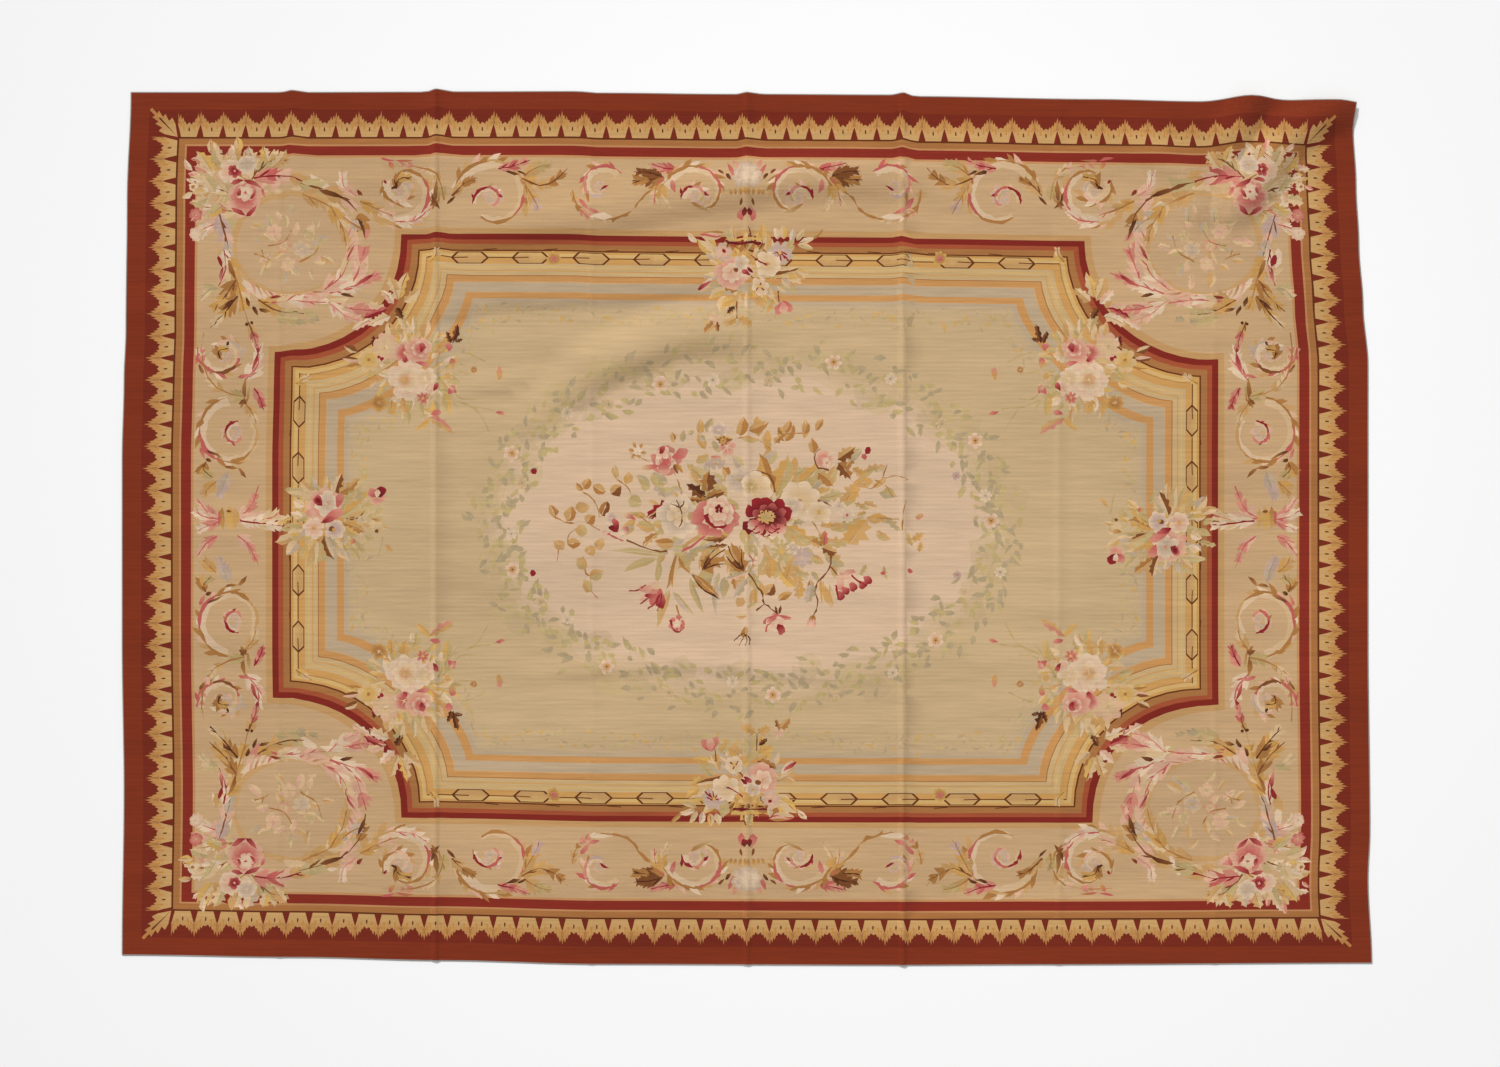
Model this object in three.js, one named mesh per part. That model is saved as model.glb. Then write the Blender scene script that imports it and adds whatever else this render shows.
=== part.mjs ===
// A room-size flat-woven tapestry carpet, spread face up on a floor. Millimetres, +Z up, +Y towards the far end.
// It is one woven sheet, 3 mm of wool. It lies flat but for the soft swags that the cloth has slid into, the waves
// at its far right corner and the creases where it was folded for storage.
import * as THREE from "three";

const HALF_LENGTH = 1981; // half of the carpet's long side, along X
const HALF_WIDTH = 1389; // half of its short side, along Y
const THICKNESS = 3;

// The four edges wander a little. Along the side edges out is X at a Y, and along the ends out is Y at an X.
const LEFT_EDGE = [
  { along: 1370, out: -1953 },
  { along: 1037, out: -1965 },
  { along: 625, out: -1969 },
  { along: 466, out: -1975 },
  { along: 213, out: -HALF_LENGTH },
  { along: -358, out: -HALF_LENGTH },
  { along: -834, out: -1975 },
  { along: -1340, out: -HALF_LENGTH },
];
const RIGHT_EDGE = [
  { along: 1351, out: 1929 },
  { along: 1275, out: 1921 },
  { along: 1085, out: 1931 },
  { along: 894, out: 1940 },
  { along: 704, out: 1953 },
  { along: 514, out: 1969 },
  { along: -358, out: 1969 },
  { along: -960, out: 1975 },
  { along: -1118, out: 1969 },
  { along: -1382, out: HALF_LENGTH },
];
const FAR_EDGE = [
  { along: -1953, out: 1379 },
  { along: -1480, out: 1379 },
  { along: -1439, out: 1386 },
  { along: -1392, out: 1379 },
  { along: -1021, out: 1380 },
  { along: -983, out: HALF_WIDTH },
  { along: -926, out: 1381 },
  { along: -545, out: 1382 },
  { along: -466, out: 1377 },
  { along: -38, out: 1373 },
  { along: 0, out: 1379 },
  { along: 57, out: 1373 },
  { along: 453, out: 1371 },
  { along: 495, out: 1377 },
  { along: 536, out: 1366 },
  { along: 1103, out: 1357 },
  { along: 1436, out: 1350 },
  { along: 1595, out: 1366 },
  { along: 1721, out: 1354 },
  { along: 1880, out: 1352 },
  { along: 1929, out: 1345 },
];
const NEAR_EDGE = [
  { along: -HALF_LENGTH, out: -1356 },
  { along: -1417, out: -1364 },
  { along: -973, out: -1374 },
  { along: -466, out: -1386 },
  { along: 485, out: -HALF_WIDTH },
  { along: 961, out: -1387 },
  { along: HALF_LENGTH, out: -1382 },
];

// Each swag is a soft ridge of cloth under its crest, higher in the middle. far and near are the widths of its two slopes.
const SWAGS = [
  {
    name: "far swag",
    height: 20,
    far: 125,
    near: 85,
    crest: [[-1005, 890], [-907, 944], [-656, 966], [-406, 1002], [-114, 1053], [114, 1094], [339, 1110], [580, 1087], [802, 1027]],
  },
  {
    name: "band swag",
    height: 8,
    far: 75,
    near: 48,
    crest: [[-1144, 694], [-976, 685], [-777, 720], [-466, 736], [-181, 755], [-54, 761]],
  },
  {
    name: "middle swag",
    height: 24,
    far: 130,
    near: 90,
    crest: [[-783, 276], [-612, 409], [-453, 504], [-339, 561], [-225, 602], [0, 625], [168, 625]],
  },
  {
    name: "small swag",
    height: 8,
    far: 65,
    near: 45,
    crest: [[-929, 450], [-758, 457], [-590, 510]],
  },
  {
    name: "near swag",
    height: 7,
    far: 65,
    near: 45,
    crest: [[-932, -459], [-707, -466], [-523, -453], [-282, -434], [-13, -444], [263, -466], [510, -459]],
  },
  {
    name: "corner swag",
    height: 16,
    far: 80,
    near: 80,
    crest: [[1182, 1252], [1325, 1164], [1420, 1037], [1404, 910]],
  },
  {
    name: "corner ridge",
    height: 30,
    far: 105,
    near: 95,
    crest: [[1475, 930], [1515, 989], [1633, 1116], [1705, 1224], [1810, 1297], [1911, 1344], [2020, 1390]],
  },
  {
    name: "edge wave",
    height: 22,
    far: 90,
    near: 90,
    crest: [[1610, 1450], [1595, 1370], [1547, 1259], [1500, 1180]],
  },
];

// The carpet was stored folded across its length, so a crease crosses it every half metre or so.
const CREASE_PITCH = 494;
const CREASE_HEIGHTS = [1.5, 5, 1.5, 4, 6, 2, 1.5]; // from the left crease to the right one
const CREASE_HALF_WIDTH = 16;
const CREASES = CREASE_HEIGHTS.map((height, k) => ({
  x: (k - (CREASE_HEIGHTS.length - 1) / 2) * CREASE_PITCH,
  height,
}));

const CREST_STEPS = 40; // points along a swag's crest
const END_TAPER = 0.3; // the share of a crest over which it dies away at each end
const LOWER_SWAG_SHARE = 0.3;
const COLUMNS_IN_A_PANEL = 5; // between two creases
// The sheet's rows are close together where the swags are. Each band runs down from the one before it.
const ROW_BANDS = [
  { down_to: 250, rows: 21 },
  { down_to: -370, rows: 6 },
  { down_to: -530, rows: 4 },
  { down_to: -HALF_WIDTH, rows: 6 },
];

const WOOL = new THREE.MeshStandardMaterial({ color: 0xcdb287, roughness: 0.95, metalness: 0 });

// An edge's place between its stations, eased so that it has no corner in it.
function edgeAt(stations, along) {
  const rising = stations[0].along < stations[stations.length - 1].along;
  const ordered = rising ? stations : [...stations].reverse();
  const next = ordered.findIndex((s) => s.along >= along);
  if (next === 0) return ordered[0].out;
  if (next < 0) return ordered[ordered.length - 1].out;
  const [a, b] = [ordered[next - 1], ordered[next]];
  return a.out + (b.out - a.out) * THREE.MathUtils.smoothstep(along, a.along, b.along);
}

// Takes a place in the true rectangle that was woven, -1 to 1 each way, to where it lies inside the uneven edges.
function laidOut(across, up) {
  let x = across * HALF_LENGTH;
  let y = up * HALF_WIDTH;
  for (let pass = 0; pass < 4; pass += 1) {
    const left = edgeAt(LEFT_EDGE, y);
    const right = edgeAt(RIGHT_EDGE, y);
    x = THREE.MathUtils.lerp(left, right, (across + 1) / 2);
    const near = edgeAt(NEAR_EDGE, x);
    const far = edgeAt(FAR_EDGE, x);
    y = THREE.MathUtils.lerp(near, far, (up + 1) / 2);
  }
  return [x, y];
}

// A rounded hump, 1 at its middle and exactly flat past its edge.
function hump(share) {
  return Math.abs(share) < 1 ? (1 - share * share) ** 2 : 0;
}

const SWAG_LINES = SWAGS.map((swag) => {
  const points = swag.crest.map(([x, y]) => new THREE.Vector2(x, y));
  return { ...swag, line: new THREE.SplineCurve(points).getPoints(CREST_STEPS) };
});

function swagLift(swag, x, y) {
  const place = new THREE.Vector2(x, y);
  let nearest = 0;
  swag.line.forEach((point, k) => {
    if (point.distanceTo(place) < swag.line[nearest].distanceTo(place)) nearest = k;
  });
  const crest = swag.line[nearest];
  const slope = y > crest.y ? swag.far : swag.near;
  const along = nearest / CREST_STEPS;
  const taper = THREE.MathUtils.smoothstep(Math.min(along, 1 - along), 0, END_TAPER);
  return swag.height * taper * hump(crest.distanceTo(place) / slope);
}

function creaseLift(x) {
  return Math.max(...CREASES.map((crease) => crease.height * hump((x - crease.x) / CREASE_HALF_WIDTH)));
}

// How far the cloth's underside is off the floor. Where two swags run together the lower one adds only a share.
function lift(x, y) {
  const swags = SWAG_LINES.map((swag) => swagLift(swag, x, y));
  const highest = Math.max(...swags);
  const others = swags.reduce((sum, height) => sum + height, 0) - highest;
  return creaseLift(x) + highest + LOWER_SWAG_SHARE * others;
}

// Columns of the sheet's mesh, with one on each crease and one on each of its sides.
function columnPlaces() {
  const places = [-HALF_LENGTH];
  const stops = [...CREASES.map((crease) => crease.x), HALF_LENGTH + CREASE_HALF_WIDTH];
  stops.forEach((stop) => {
    const start = places[places.length - 1];
    const end = stop - CREASE_HALF_WIDTH;
    for (let k = 1; k <= COLUMNS_IN_A_PANEL; k += 1) places.push(start + ((end - start) * k) / COLUMNS_IN_A_PANEL);
    if (stop < HALF_LENGTH) places.push(stop, stop + CREASE_HALF_WIDTH);
  });
  return places;
}

function rowPlaces() {
  const places = [HALF_WIDTH];
  ROW_BANDS.forEach((band) => {
    const start = places[places.length - 1];
    for (let k = 1; k <= band.rows; k += 1) places.push(start + ((band.down_to - start) * k) / band.rows);
  });
  return places.reverse();
}

// The sheet starts as a unit box with a grid on it, and each of its corners is carried to its place in the cloth.
function wovenSheet() {
  const columns = columnPlaces();
  const rows = rowPlaces();
  const sheet = new THREE.BoxGeometry(1, 1, 1, columns.length - 1, rows.length - 1, 1);
  const corners = sheet.getAttribute("position");
  for (let k = 0; k < corners.count; k += 1) {
    const column = columns[Math.round((corners.getX(k) + 0.5) * (columns.length - 1))];
    const row = rows[Math.round((corners.getY(k) + 0.5) * (rows.length - 1))];
    const [x, y] = laidOut(column / HALF_LENGTH, row / HALF_WIDTH);
    const z = lift(x, y) + (corners.getZ(k) > 0 ? THICKNESS : 0);
    corners.setXYZ(k, x, y, z);
  }
  sheet.computeVertexNormals();
  return sheet;
}

const carpet = new THREE.Mesh(wovenSheet(), WOOL);
carpet.name = "woven_carpet";

const group = new THREE.Group();
group.add(carpet);

export default group;
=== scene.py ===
"""A room-size flat-woven tapestry carpet, spread on a floor, seen from above.

The whole design is drawn as outlines of woven colour, in millimetres from the carpet's middle. One
constrained triangulation then turns them into a single sheet, in which each region has its own colours, as
it has its own wool. Places in the design are complex numbers, so a turn is a multiplication and a mirror
image is a conjugate.
"""
import math

import bpy
import numpy as np
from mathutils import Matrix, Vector
from mathutils.geometry import delaunay_2d_cdt


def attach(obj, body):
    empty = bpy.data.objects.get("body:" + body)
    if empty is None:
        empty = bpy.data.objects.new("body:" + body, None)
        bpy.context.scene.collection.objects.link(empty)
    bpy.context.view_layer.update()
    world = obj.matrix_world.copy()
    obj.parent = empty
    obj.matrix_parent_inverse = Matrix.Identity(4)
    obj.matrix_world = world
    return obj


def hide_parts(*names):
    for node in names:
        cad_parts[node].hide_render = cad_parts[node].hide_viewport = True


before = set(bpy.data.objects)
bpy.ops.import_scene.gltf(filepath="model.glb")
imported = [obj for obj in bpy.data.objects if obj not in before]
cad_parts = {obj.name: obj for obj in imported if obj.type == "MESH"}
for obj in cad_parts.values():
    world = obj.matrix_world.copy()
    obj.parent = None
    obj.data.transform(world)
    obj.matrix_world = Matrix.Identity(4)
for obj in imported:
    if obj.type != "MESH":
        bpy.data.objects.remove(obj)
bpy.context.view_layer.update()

MM = 0.001
HALF_LENGTH = 1981.0
HALF_WIDTH = 1389.0
THICKNESS = 3.0

# The edges of the cloth, as in the part's source. Each pair is (along the edge, out from the middle).
LEFT_EDGE = ((1370, -1953), (1037, -1965), (625, -1969), (466, -1975), (213, -1981), (-358, -1981),
             (-834, -1975), (-1340, -1981))
RIGHT_EDGE = ((1351, 1929), (1275, 1921), (1085, 1931), (894, 1940), (704, 1953), (514, 1969), (-358, 1969),
              (-960, 1975), (-1118, 1969), (-1382, 1981))
FAR_EDGE = ((-1953, 1379), (-1480, 1379), (-1439, 1386), (-1392, 1379), (-1021, 1380), (-983, 1389),
            (-926, 1381), (-545, 1382), (-466, 1377), (-38, 1373), (0, 1379), (57, 1373), (453, 1371),
            (495, 1377), (536, 1366), (1103, 1357), (1436, 1350), (1595, 1366), (1721, 1354), (1880, 1352),
            (1929, 1345))
NEAR_EDGE = ((-1981, -1356), (-1417, -1364), (-973, -1374), (-466, -1386), (485, -1389), (961, -1387),
             (1981, -1382))

# The swags, as in the part's source: height, width of the far slope, width of the near slope, crest.
SWAGS = ((20, 125, 85,
          (-1005 + 890j, -907 + 944j, -656 + 966j, -406 + 1002j, -114 + 1053j, 114 + 1094j, 339 + 1110j,
           580 + 1087j, 802 + 1027j)),
         (8, 75, 48, (-1144 + 694j, -976 + 685j, -777 + 720j, -466 + 736j, -181 + 755j, -54 + 761j)),
         (24, 130, 90,
          (-783 + 276j, -612 + 409j, -453 + 504j, -339 + 561j, -225 + 602j, 0 + 625j, 168 + 625j)),
         (8, 65, 45, (-929 + 450j, -758 + 457j, -590 + 510j)),
         (7, 65, 45,
          (-932 - 459j, -707 - 466j, -523 - 453j, -282 - 434j, -13 - 444j, 263 - 466j, 510 - 459j)),
         (16, 80, 80, (1182 + 1252j, 1325 + 1164j, 1420 + 1037j, 1404 + 910j)),
         (30, 105, 95,
          (1475 + 930j, 1515 + 989j, 1633 + 1116j, 1705 + 1224j, 1810 + 1297j, 1911 + 1344j, 2020 + 1390j)),
         (22, 90, 90, (1610 + 1450j, 1595 + 1370j, 1547 + 1259j, 1500 + 1180j)),)
CREASE_PITCH = 494.0
CREASE_HEIGHTS = (1.5, 5, 1.5, 4, 6, 2, 1.5)
CREASE_HALF_WIDTH = 16.0
SHARP_CREASE = 3  # a crease higher than this is bent along more lines
CREST_STEPS = 40
END_TAPER = 0.3
LOWER_SWAG_SHARE = 0.3

# The photograph's frame: the carpet's middle in its pixels, and the real size of one pixel.
PHOTO_MIDDLE = 747 + 527.2j
PHOTO_SIZE = (1500, 1067)
PIXEL = 3.17  # millimetres

GRID = 26.0  # the sheet's own mesh, where the design has no outline
UNDER_GRID = 28.0  # and that of its underside
CORNER_GRID = 12.0  # both, where the two waves cross at the far right corner
CORNER_WAVES = 1400 + 1000j  # that corner's part of the sheet lies beyond this place
FLAT_EVERY = 3  # where the cloth lies flat, every third point is enough
LIFTED = 0.05  # it counts as lifted where a swag raises it by more than this
CORNER_LIFTED = 4  # the waves' finer mesh lies where they raise it by more
CLOSEST = 0.6  # outline points nearer than this are one point
EPSILON = 0.02  # how near the triangulation takes two places as one

rng = np.random.default_rng(11)


def smooth(t):
    t = np.clip(t, 0, 1)
    return t * t * (3 - 2 * t)


def edge_at(stations, along):
    """An edge's place between its stations, eased so that it has no corner in it."""
    station = np.array(sorted(stations), float)
    k = np.clip(np.searchsorted(station[:, 0], along), 1, len(station) - 1)
    low, high = station[k - 1], station[k]
    share = smooth((along - low[..., 0]) / (high[..., 0] - low[..., 0]))
    return low[..., 1] + (high[..., 1] - low[..., 1]) * share


def laid_out(place):
    """Takes places in the true rectangle that was woven to where they lie inside the uneven edges."""
    across, up = place.real / HALF_LENGTH, place.imag / HALF_WIDTH
    x, y = place.real.copy(), place.imag.copy()
    for _ in range(4):
        left, right = edge_at(LEFT_EDGE, y), edge_at(RIGHT_EDGE, y)
        x = left + (right - left) * (across + 1) / 2
        near, far = edge_at(NEAR_EDGE, x), edge_at(FAR_EDGE, x)
        y = near + (far - near) * (up + 1) / 2
    return x + 1j * y


def seen(x, y):
    """The place in the true rectangle of a point that is seen at this pixel of the photograph."""
    lies = np.array([complex(x, y)]) - PHOTO_MIDDLE
    lies = lies.conj() * PIXEL
    left, right = edge_at(LEFT_EDGE, lies.imag), edge_at(RIGHT_EDGE, lies.imag)
    near, far = edge_at(NEAR_EDGE, lies.real), edge_at(FAR_EDGE, lies.real)
    across = 2 * (lies.real - left) / (right - left) - 1
    up = 2 * (lies.imag - near) / (far - near) - 1
    return complex(across[0] * HALF_LENGTH, up[0] * HALF_WIDTH)


def curve(points, steps):
    """A smooth line through a few points, with this many steps in all."""
    p = np.array([2 * points[0] - points[1], *points, 2 * points[-1] - points[-2]])
    t = np.linspace(0, len(points) - 1, steps + 1)
    k = np.minimum(t.astype(int), len(points) - 2)
    t = t - k
    a, b, c, d = p[k], p[k + 1], p[k + 2], p[k + 3]
    v0, v1 = (c - a) / 2, (d - b) / 2
    return (2 * b - 2 * c + v0 + v1) * t**3 + (-3 * b + 3 * c - 2 * v0 - v1) * t**2 + v0 * t + b


def hump(share):
    return np.where(np.abs(share) < 1, (1 - share * share) ** 2, 0.0)


def swag_lift(place, height, far, near, crest):
    line = curve(crest, CREST_STEPS)
    start, step = line[:-1], np.diff(line)
    best = np.full(place.shape, np.inf)
    side, along = np.zeros(place.shape), np.zeros(place.shape)
    for k in range(CREST_STEPS):
        share = np.clip(((place - start[k]) / step[k]).real, 0, 1)
        foot = start[k] + share * step[k]
        gap = np.abs(place - foot)
        closer = gap < best
        best = np.where(closer, gap, best)
        side = np.where(closer, (place - foot).imag, side)
        along = np.where(closer, (k + share) / CREST_STEPS, along)
    taper = smooth(np.minimum(along, 1 - along) / END_TAPER)
    return height * taper * hump(best / np.where(side > 0, far, near))


def swags_lift(place):
    swags = np.array([swag_lift(place, *swag) for swag in SWAGS])
    highest = swags.max(0)
    return highest + LOWER_SWAG_SHARE * (swags.sum(0) - highest)


def crease_middle(k):
    """Where along X the crease lies, counted from the left one."""
    return (k - (len(CREASE_HEIGHTS) - 1) / 2) * CREASE_PITCH


def lift(place):
    """How far the cloth's underside is off the floor."""
    creases = np.zeros(place.shape)
    for k, height in enumerate(CREASE_HEIGHTS):
        creases += height * hump((place.real - crease_middle(k)) / CREASE_HALF_WIDTH)
    return creases + swags_lift(place)


def wool(red, green, blue):
    """A dyed wool's colour in daylight, from 0 to 255, as a shader's linear numbers."""
    c = np.array([red, green, blue]) / 255.0
    return np.where(c <= 0.04045, c / 12.92, ((c + 0.055) / 1.055) ** 2.4)


# The wools of the bands and grounds.
RUST = wool(127, 48, 22)
DARK_RED = wool(116, 39, 21)
BAND_RED = wool(133, 42, 28)
BROWN_LINE = wool(92, 44, 16)
BAND_TAN = wool(166, 109, 60)
BAND_LIGHT = wool(186, 132, 86)
LEAF_TIP = wool(180, 122, 66)
LEAF_FOOT = wool(198, 156, 100)
LEAF_STREAK = wool(190, 132, 66)
BORDER_ORANGE = wool(192, 138, 90)
BORDER_GROUND = wool(195, 159, 117)
FRAME_TAN = wool(190, 146, 94)
FRAME_RED = wool(126, 36, 26)
FRAME_ORANGE_RED = wool(160, 78, 48)
FRAME_BROWN = wool(164, 110, 62)
FRAME_LINE = wool(98, 50, 18)
REED_GOLD = wool(200, 150, 86)
REED_TAN = wool(178, 130, 78)
REED_PALE = wool(198, 166, 118)
REED_BRIGHT = wool(208, 170, 108)
LINE_ORANGE = wool(196, 142, 84)
GREY_BAND = wool(184, 160, 129)
FIELD = wool(195, 166, 125)
OVAL = wool(209, 178, 147)
SELVEDGE = wool(150, 140, 134)
UNDERSIDE = FIELD * 0.85

# The wools of the flowers and leaves.
CRIMSON = wool(138, 34, 38)
DEEP_CRIMSON = wool(104, 24, 26)
ROSE = wool(184, 92, 84)
PINK = wool(200, 130, 110)
BLUSH = wool(210, 164, 136)
IVORY = wool(216, 188, 157)
CREAM = wool(206, 173, 131)
LILAC = wool(186, 156, 142)
SILVER = wool(186, 161, 137)
GOLD = wool(196, 148, 82)
GOLD_TAN = wool(192, 148, 94)
GOLD_BROWN = wool(166, 114, 60)
BROWN = wool(122, 72, 36)
DARK_BROWN = wool(82, 42, 22)
YELLOW = wool(202, 160, 90)
OLIVE = wool(182, 154, 102)
PALE_OLIVE = wool(185, 160, 112)
GREY_OLIVE = wool(168, 148, 114)
DIM_OLIVE = wool(177, 154, 118)
LIME = wool(188, 166, 110)


WOBBLE = 0.06  # how far the weaver's hand strays on a motif, as a share of the square root of its area
WOBBLE_LIMIT = 2.4  # but never more than this


class Cartoon:
    """The design: outlines in the order in which they cover each other, each with its wool."""

    def __init__(self):
        self.outlines = []
        self.fills = []
        self.wobble = 0.0

    def weave(self, outline, colour, to=None, start=0j, reach=1j, cover=1.0):
        """Adds a region. Its wool shades from colour to the colour to, along reach from start."""
        outline = np.asarray(outline, complex)
        if self.wobble:
            area = abs((outline.conj() * np.roll(outline, -1)).imag.sum()) / 2
            amount = min(self.wobble * math.sqrt(area), WOBBLE_LIMIT)
            stray = rng.normal(size=len(outline)) + 1j * rng.normal(size=len(outline))
            outline = outline + amount * stray
        keep = np.abs(outline - np.roll(outline, 1)) > CLOSEST
        self.outlines.append(outline[keep])
        self.fills.append((colour, colour if to is None else to, start, reach, cover))


cartoon = Cartoon()

END_SHARE = 0.925  # the bands are this much narrower along the long edges than along the short ones


def rectangle(inset, step=None):
    """The carpet's outline drawn in by inset, with points every step."""
    corner = complex(HALF_LENGTH - inset, HALF_WIDTH - inset * END_SHARE)
    corners = [-corner, corner.conjugate(), corner, -corner.conjugate()]
    if step is None:
        return np.array(corners)
    sides = []
    for a, b in zip(corners, corners[1:] + corners[:1]):
        count = round(abs(b - a) / step)
        sides.append(a + (b - a) * np.arange(count) / count)
    return np.concatenate(sides)


# How far in from the carpet's short edges each band of the outer border begins.
SELVEDGE_WIDTH = 3
DARK_RED_IN = 62
LEAF_TIP_IN = 68
LEAF_BASE_IN = 156
LINE_IN = 157
TAN_IN = 162
TAN_LIGHT_IN = 182
RED_IN = 188
ORANGE_IN = 220
GROUND_IN = 228
OUTER_BANDS = (
    (SELVEDGE_WIDTH, RUST), (DARK_RED_IN, DARK_RED), (LINE_IN, BROWN_LINE), (TAN_IN, BAND_TAN),
    (TAN_LIGHT_IN, BAND_LIGHT), (RED_IN, BAND_RED), (ORANGE_IN, BORDER_ORANGE), (GROUND_IN, BORDER_GROUND),
)


def outer_bands():
    cartoon.weave(rectangle(0, GRID), SELVEDGE)
    for inset, colour in OUTER_BANDS:
        cartoon.weave(rectangle(inset), colour)


# One leaf of the border stands on its base line, and its torn top rises to a peak at each side of it.
TEETH = 4
WEDGE = 0.16  # half the gap at the foot between two leaves, as a share of the pitch
WEDGE_HEIGHT = 0.5
VALLEY_HEIGHT = 0.58
# Each leaf's streaks, mirrored on its two halves: place, foot, tip and half width, as shares of its size.
LEAF_STREAKS = ((0.37, 0.42, 0.8, 0.05, LEAF_STREAK), (0.23, 0.3, 0.66, 0.045, LEAF_STREAK),
                (0.46, 0.5, 0.9, 0.03, FRAME_BROWN))
LEAF_SEED = (-2 + 20j, 1 + 17j, 3 + 20j, 2 + 29j, -1 + 32j, -2 + 27j)  # the dark mark at its foot


def torn_side(pitch, height, out):
    """The torn edge from a leaf's peak at its side down to the valley in its middle. out is -1 or 1."""
    points = []
    for k in range(TEETH):
        share = k / TEETH
        tip = complex(pitch * (0.5 - 0.44 * share),
                      height * (1 - 0.5 * share**1.1 + rng.uniform(-0.05, 0.05)))
        notch = complex(pitch * (0.5 - 0.44 * (share + 0.5 / TEETH)), tip.imag - height * (0.24 - 0.04 * k))
        points += [tip, notch]
    return [complex(out * z.real, z.imag) for z in points]


def set_down(points, foot, along, outward):
    """Carries points, given as along + 1j * outward, to their place from this foot."""
    points = np.asarray(points)
    return foot + points.real * along + points.imag * outward


def leaf_border(start, end, outward, count, height):
    """A row of torn leaves from start to end. outward points to the carpet's edge."""
    along = (end - start) / abs(end - start)
    pitch = abs(end - start) / count
    wedge, wedge_top = WEDGE * pitch, WEDGE_HEIGHT * height
    for k in range(count):
        foot = start + along * pitch * (k + 0.5)
        shoulder = [complex(wedge - pitch / 2, 0), complex(wedge * 0.45 - pitch / 2, wedge_top * 0.6)]
        body = shoulder + [complex(-pitch / 2, wedge_top)] + torn_side(pitch, height, -1)
        body += [complex(0, VALLEY_HEIGHT * height)] + torn_side(pitch, height, 1)[::-1]
        body += [complex(pitch / 2, wedge_top)] + [complex(-z.real, z.imag) for z in shoulder[::-1]]
        body = set_down(body, foot, along, outward)
        cartoon.weave(body, LEAF_FOOT, LEAF_TIP, foot + outward * height * 0.1, outward * height * 0.9)
        for x, low, high, width, tint in LEAF_STREAKS:
            for out in (-1, 1):
                streak = [x * out * pitch - width * pitch + 1j * low * height,
                          x * out * pitch + width * pitch + 1j * low * height,
                          x * out * pitch * 1.1 + 1j * high * height]
                cartoon.weave(set_down(streak, foot, along, outward), tint)
        cartoon.weave(set_down(LEAF_SEED, foot, along, outward), BROWN_LINE)


LEAVES_ALONG = 50
LEAVES_UP = 35
# Half of the corner leaf's torn outline, from its tip, as shares of its reach, and its dark rib.
CORNER_LEAF_SIDE = ((1.06, 0.98), (0.86, 0.78), (0.96, 0.72), (0.72, 0.56), (0.84, 0.48), (0.58, 0.34),
                    (0.7, 0.22), (0.48, 0.1))
CORNER_LEAF_RIB = (0, 60 + 56j, 64 + 64j, 56 + 60j)


def corner_leaf(corner):
    """The large leaf over the mitre, with its dark rib. corner holds the signs of the corner."""
    inner = complex(HALF_LENGTH - LEAF_BASE_IN, HALF_WIDTH - LEAF_BASE_IN * END_SHARE)
    reach = LEAF_BASE_IN - LEAF_TIP_IN
    side = [complex(reach * a, reach * b) for a, b in CORNER_LEAF_SIDE]
    outline = [0j, *side[::-1], *[complex(z.imag, z.real) for z in side]]

    def turned(z):
        return complex(corner.real * z.real, corner.imag * z.imag)

    blade = np.array([turned(inner + z) for z in outline])
    cartoon.weave(blade, LEAF_FOOT, LEAF_TIP, turned(inner), turned(complex(reach, reach)))
    cartoon.weave(np.array([turned(inner + z) for z in CORNER_LEAF_RIB]), BROWN_LINE)


def leaf_borders():
    x, y = HALF_LENGTH - LEAF_BASE_IN, HALF_WIDTH - LEAF_BASE_IN * END_SHARE
    height = LEAF_BASE_IN - LEAF_TIP_IN
    leaf_border(complex(-x, y), complex(x, y), 1j, LEAVES_ALONG, height * END_SHARE)
    leaf_border(complex(-x, -y), complex(x, -y), -1j, LEAVES_ALONG, height * END_SHARE)
    leaf_border(complex(-x, -y), complex(-x, y), -1, LEAVES_UP, height)
    leaf_border(complex(x, -y), complex(x, y), 1, LEAVES_UP, height)
    for corner in (1 + 1j, 1 - 1j, -1 + 1j, -1 - 1j):
        corner_leaf(corner)


# The inner frame: a rectangle whose corners are cut away. Its cuts are round outside and straighter inside.
FRAME_HALF = 1503 + 933j
FRAME_END_SHARE = 0.9
NOTCH = 405 + 378j
NOTCH_STEPS = 12
ROUND_OUTSIDE = 2.2
ROUND_LOST = 0.75  # how much of the cut's roundness is lost over the depth of the frame
FRAME_DEPTH = 215


def framed(inset):
    """The inner frame's outline, drawn in by inset."""
    half = FRAME_HALF - complex(inset, inset * FRAME_END_SHARE)
    power = 2 / (ROUND_OUTSIDE - ROUND_LOST * min(max(inset, 0) / FRAME_DEPTH, 1))
    turn = np.linspace(0, math.pi / 2, NOTCH_STEPS + 1)
    cut = NOTCH.real * np.cos(turn).clip(0) ** power + 1j * NOTCH.imag * np.sin(turn).clip(0) ** power
    quarter = half - cut
    return np.concatenate([quarter, quarter.conj()[::-1], -quarter, -quarter.conj()[::-1]])


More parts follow.
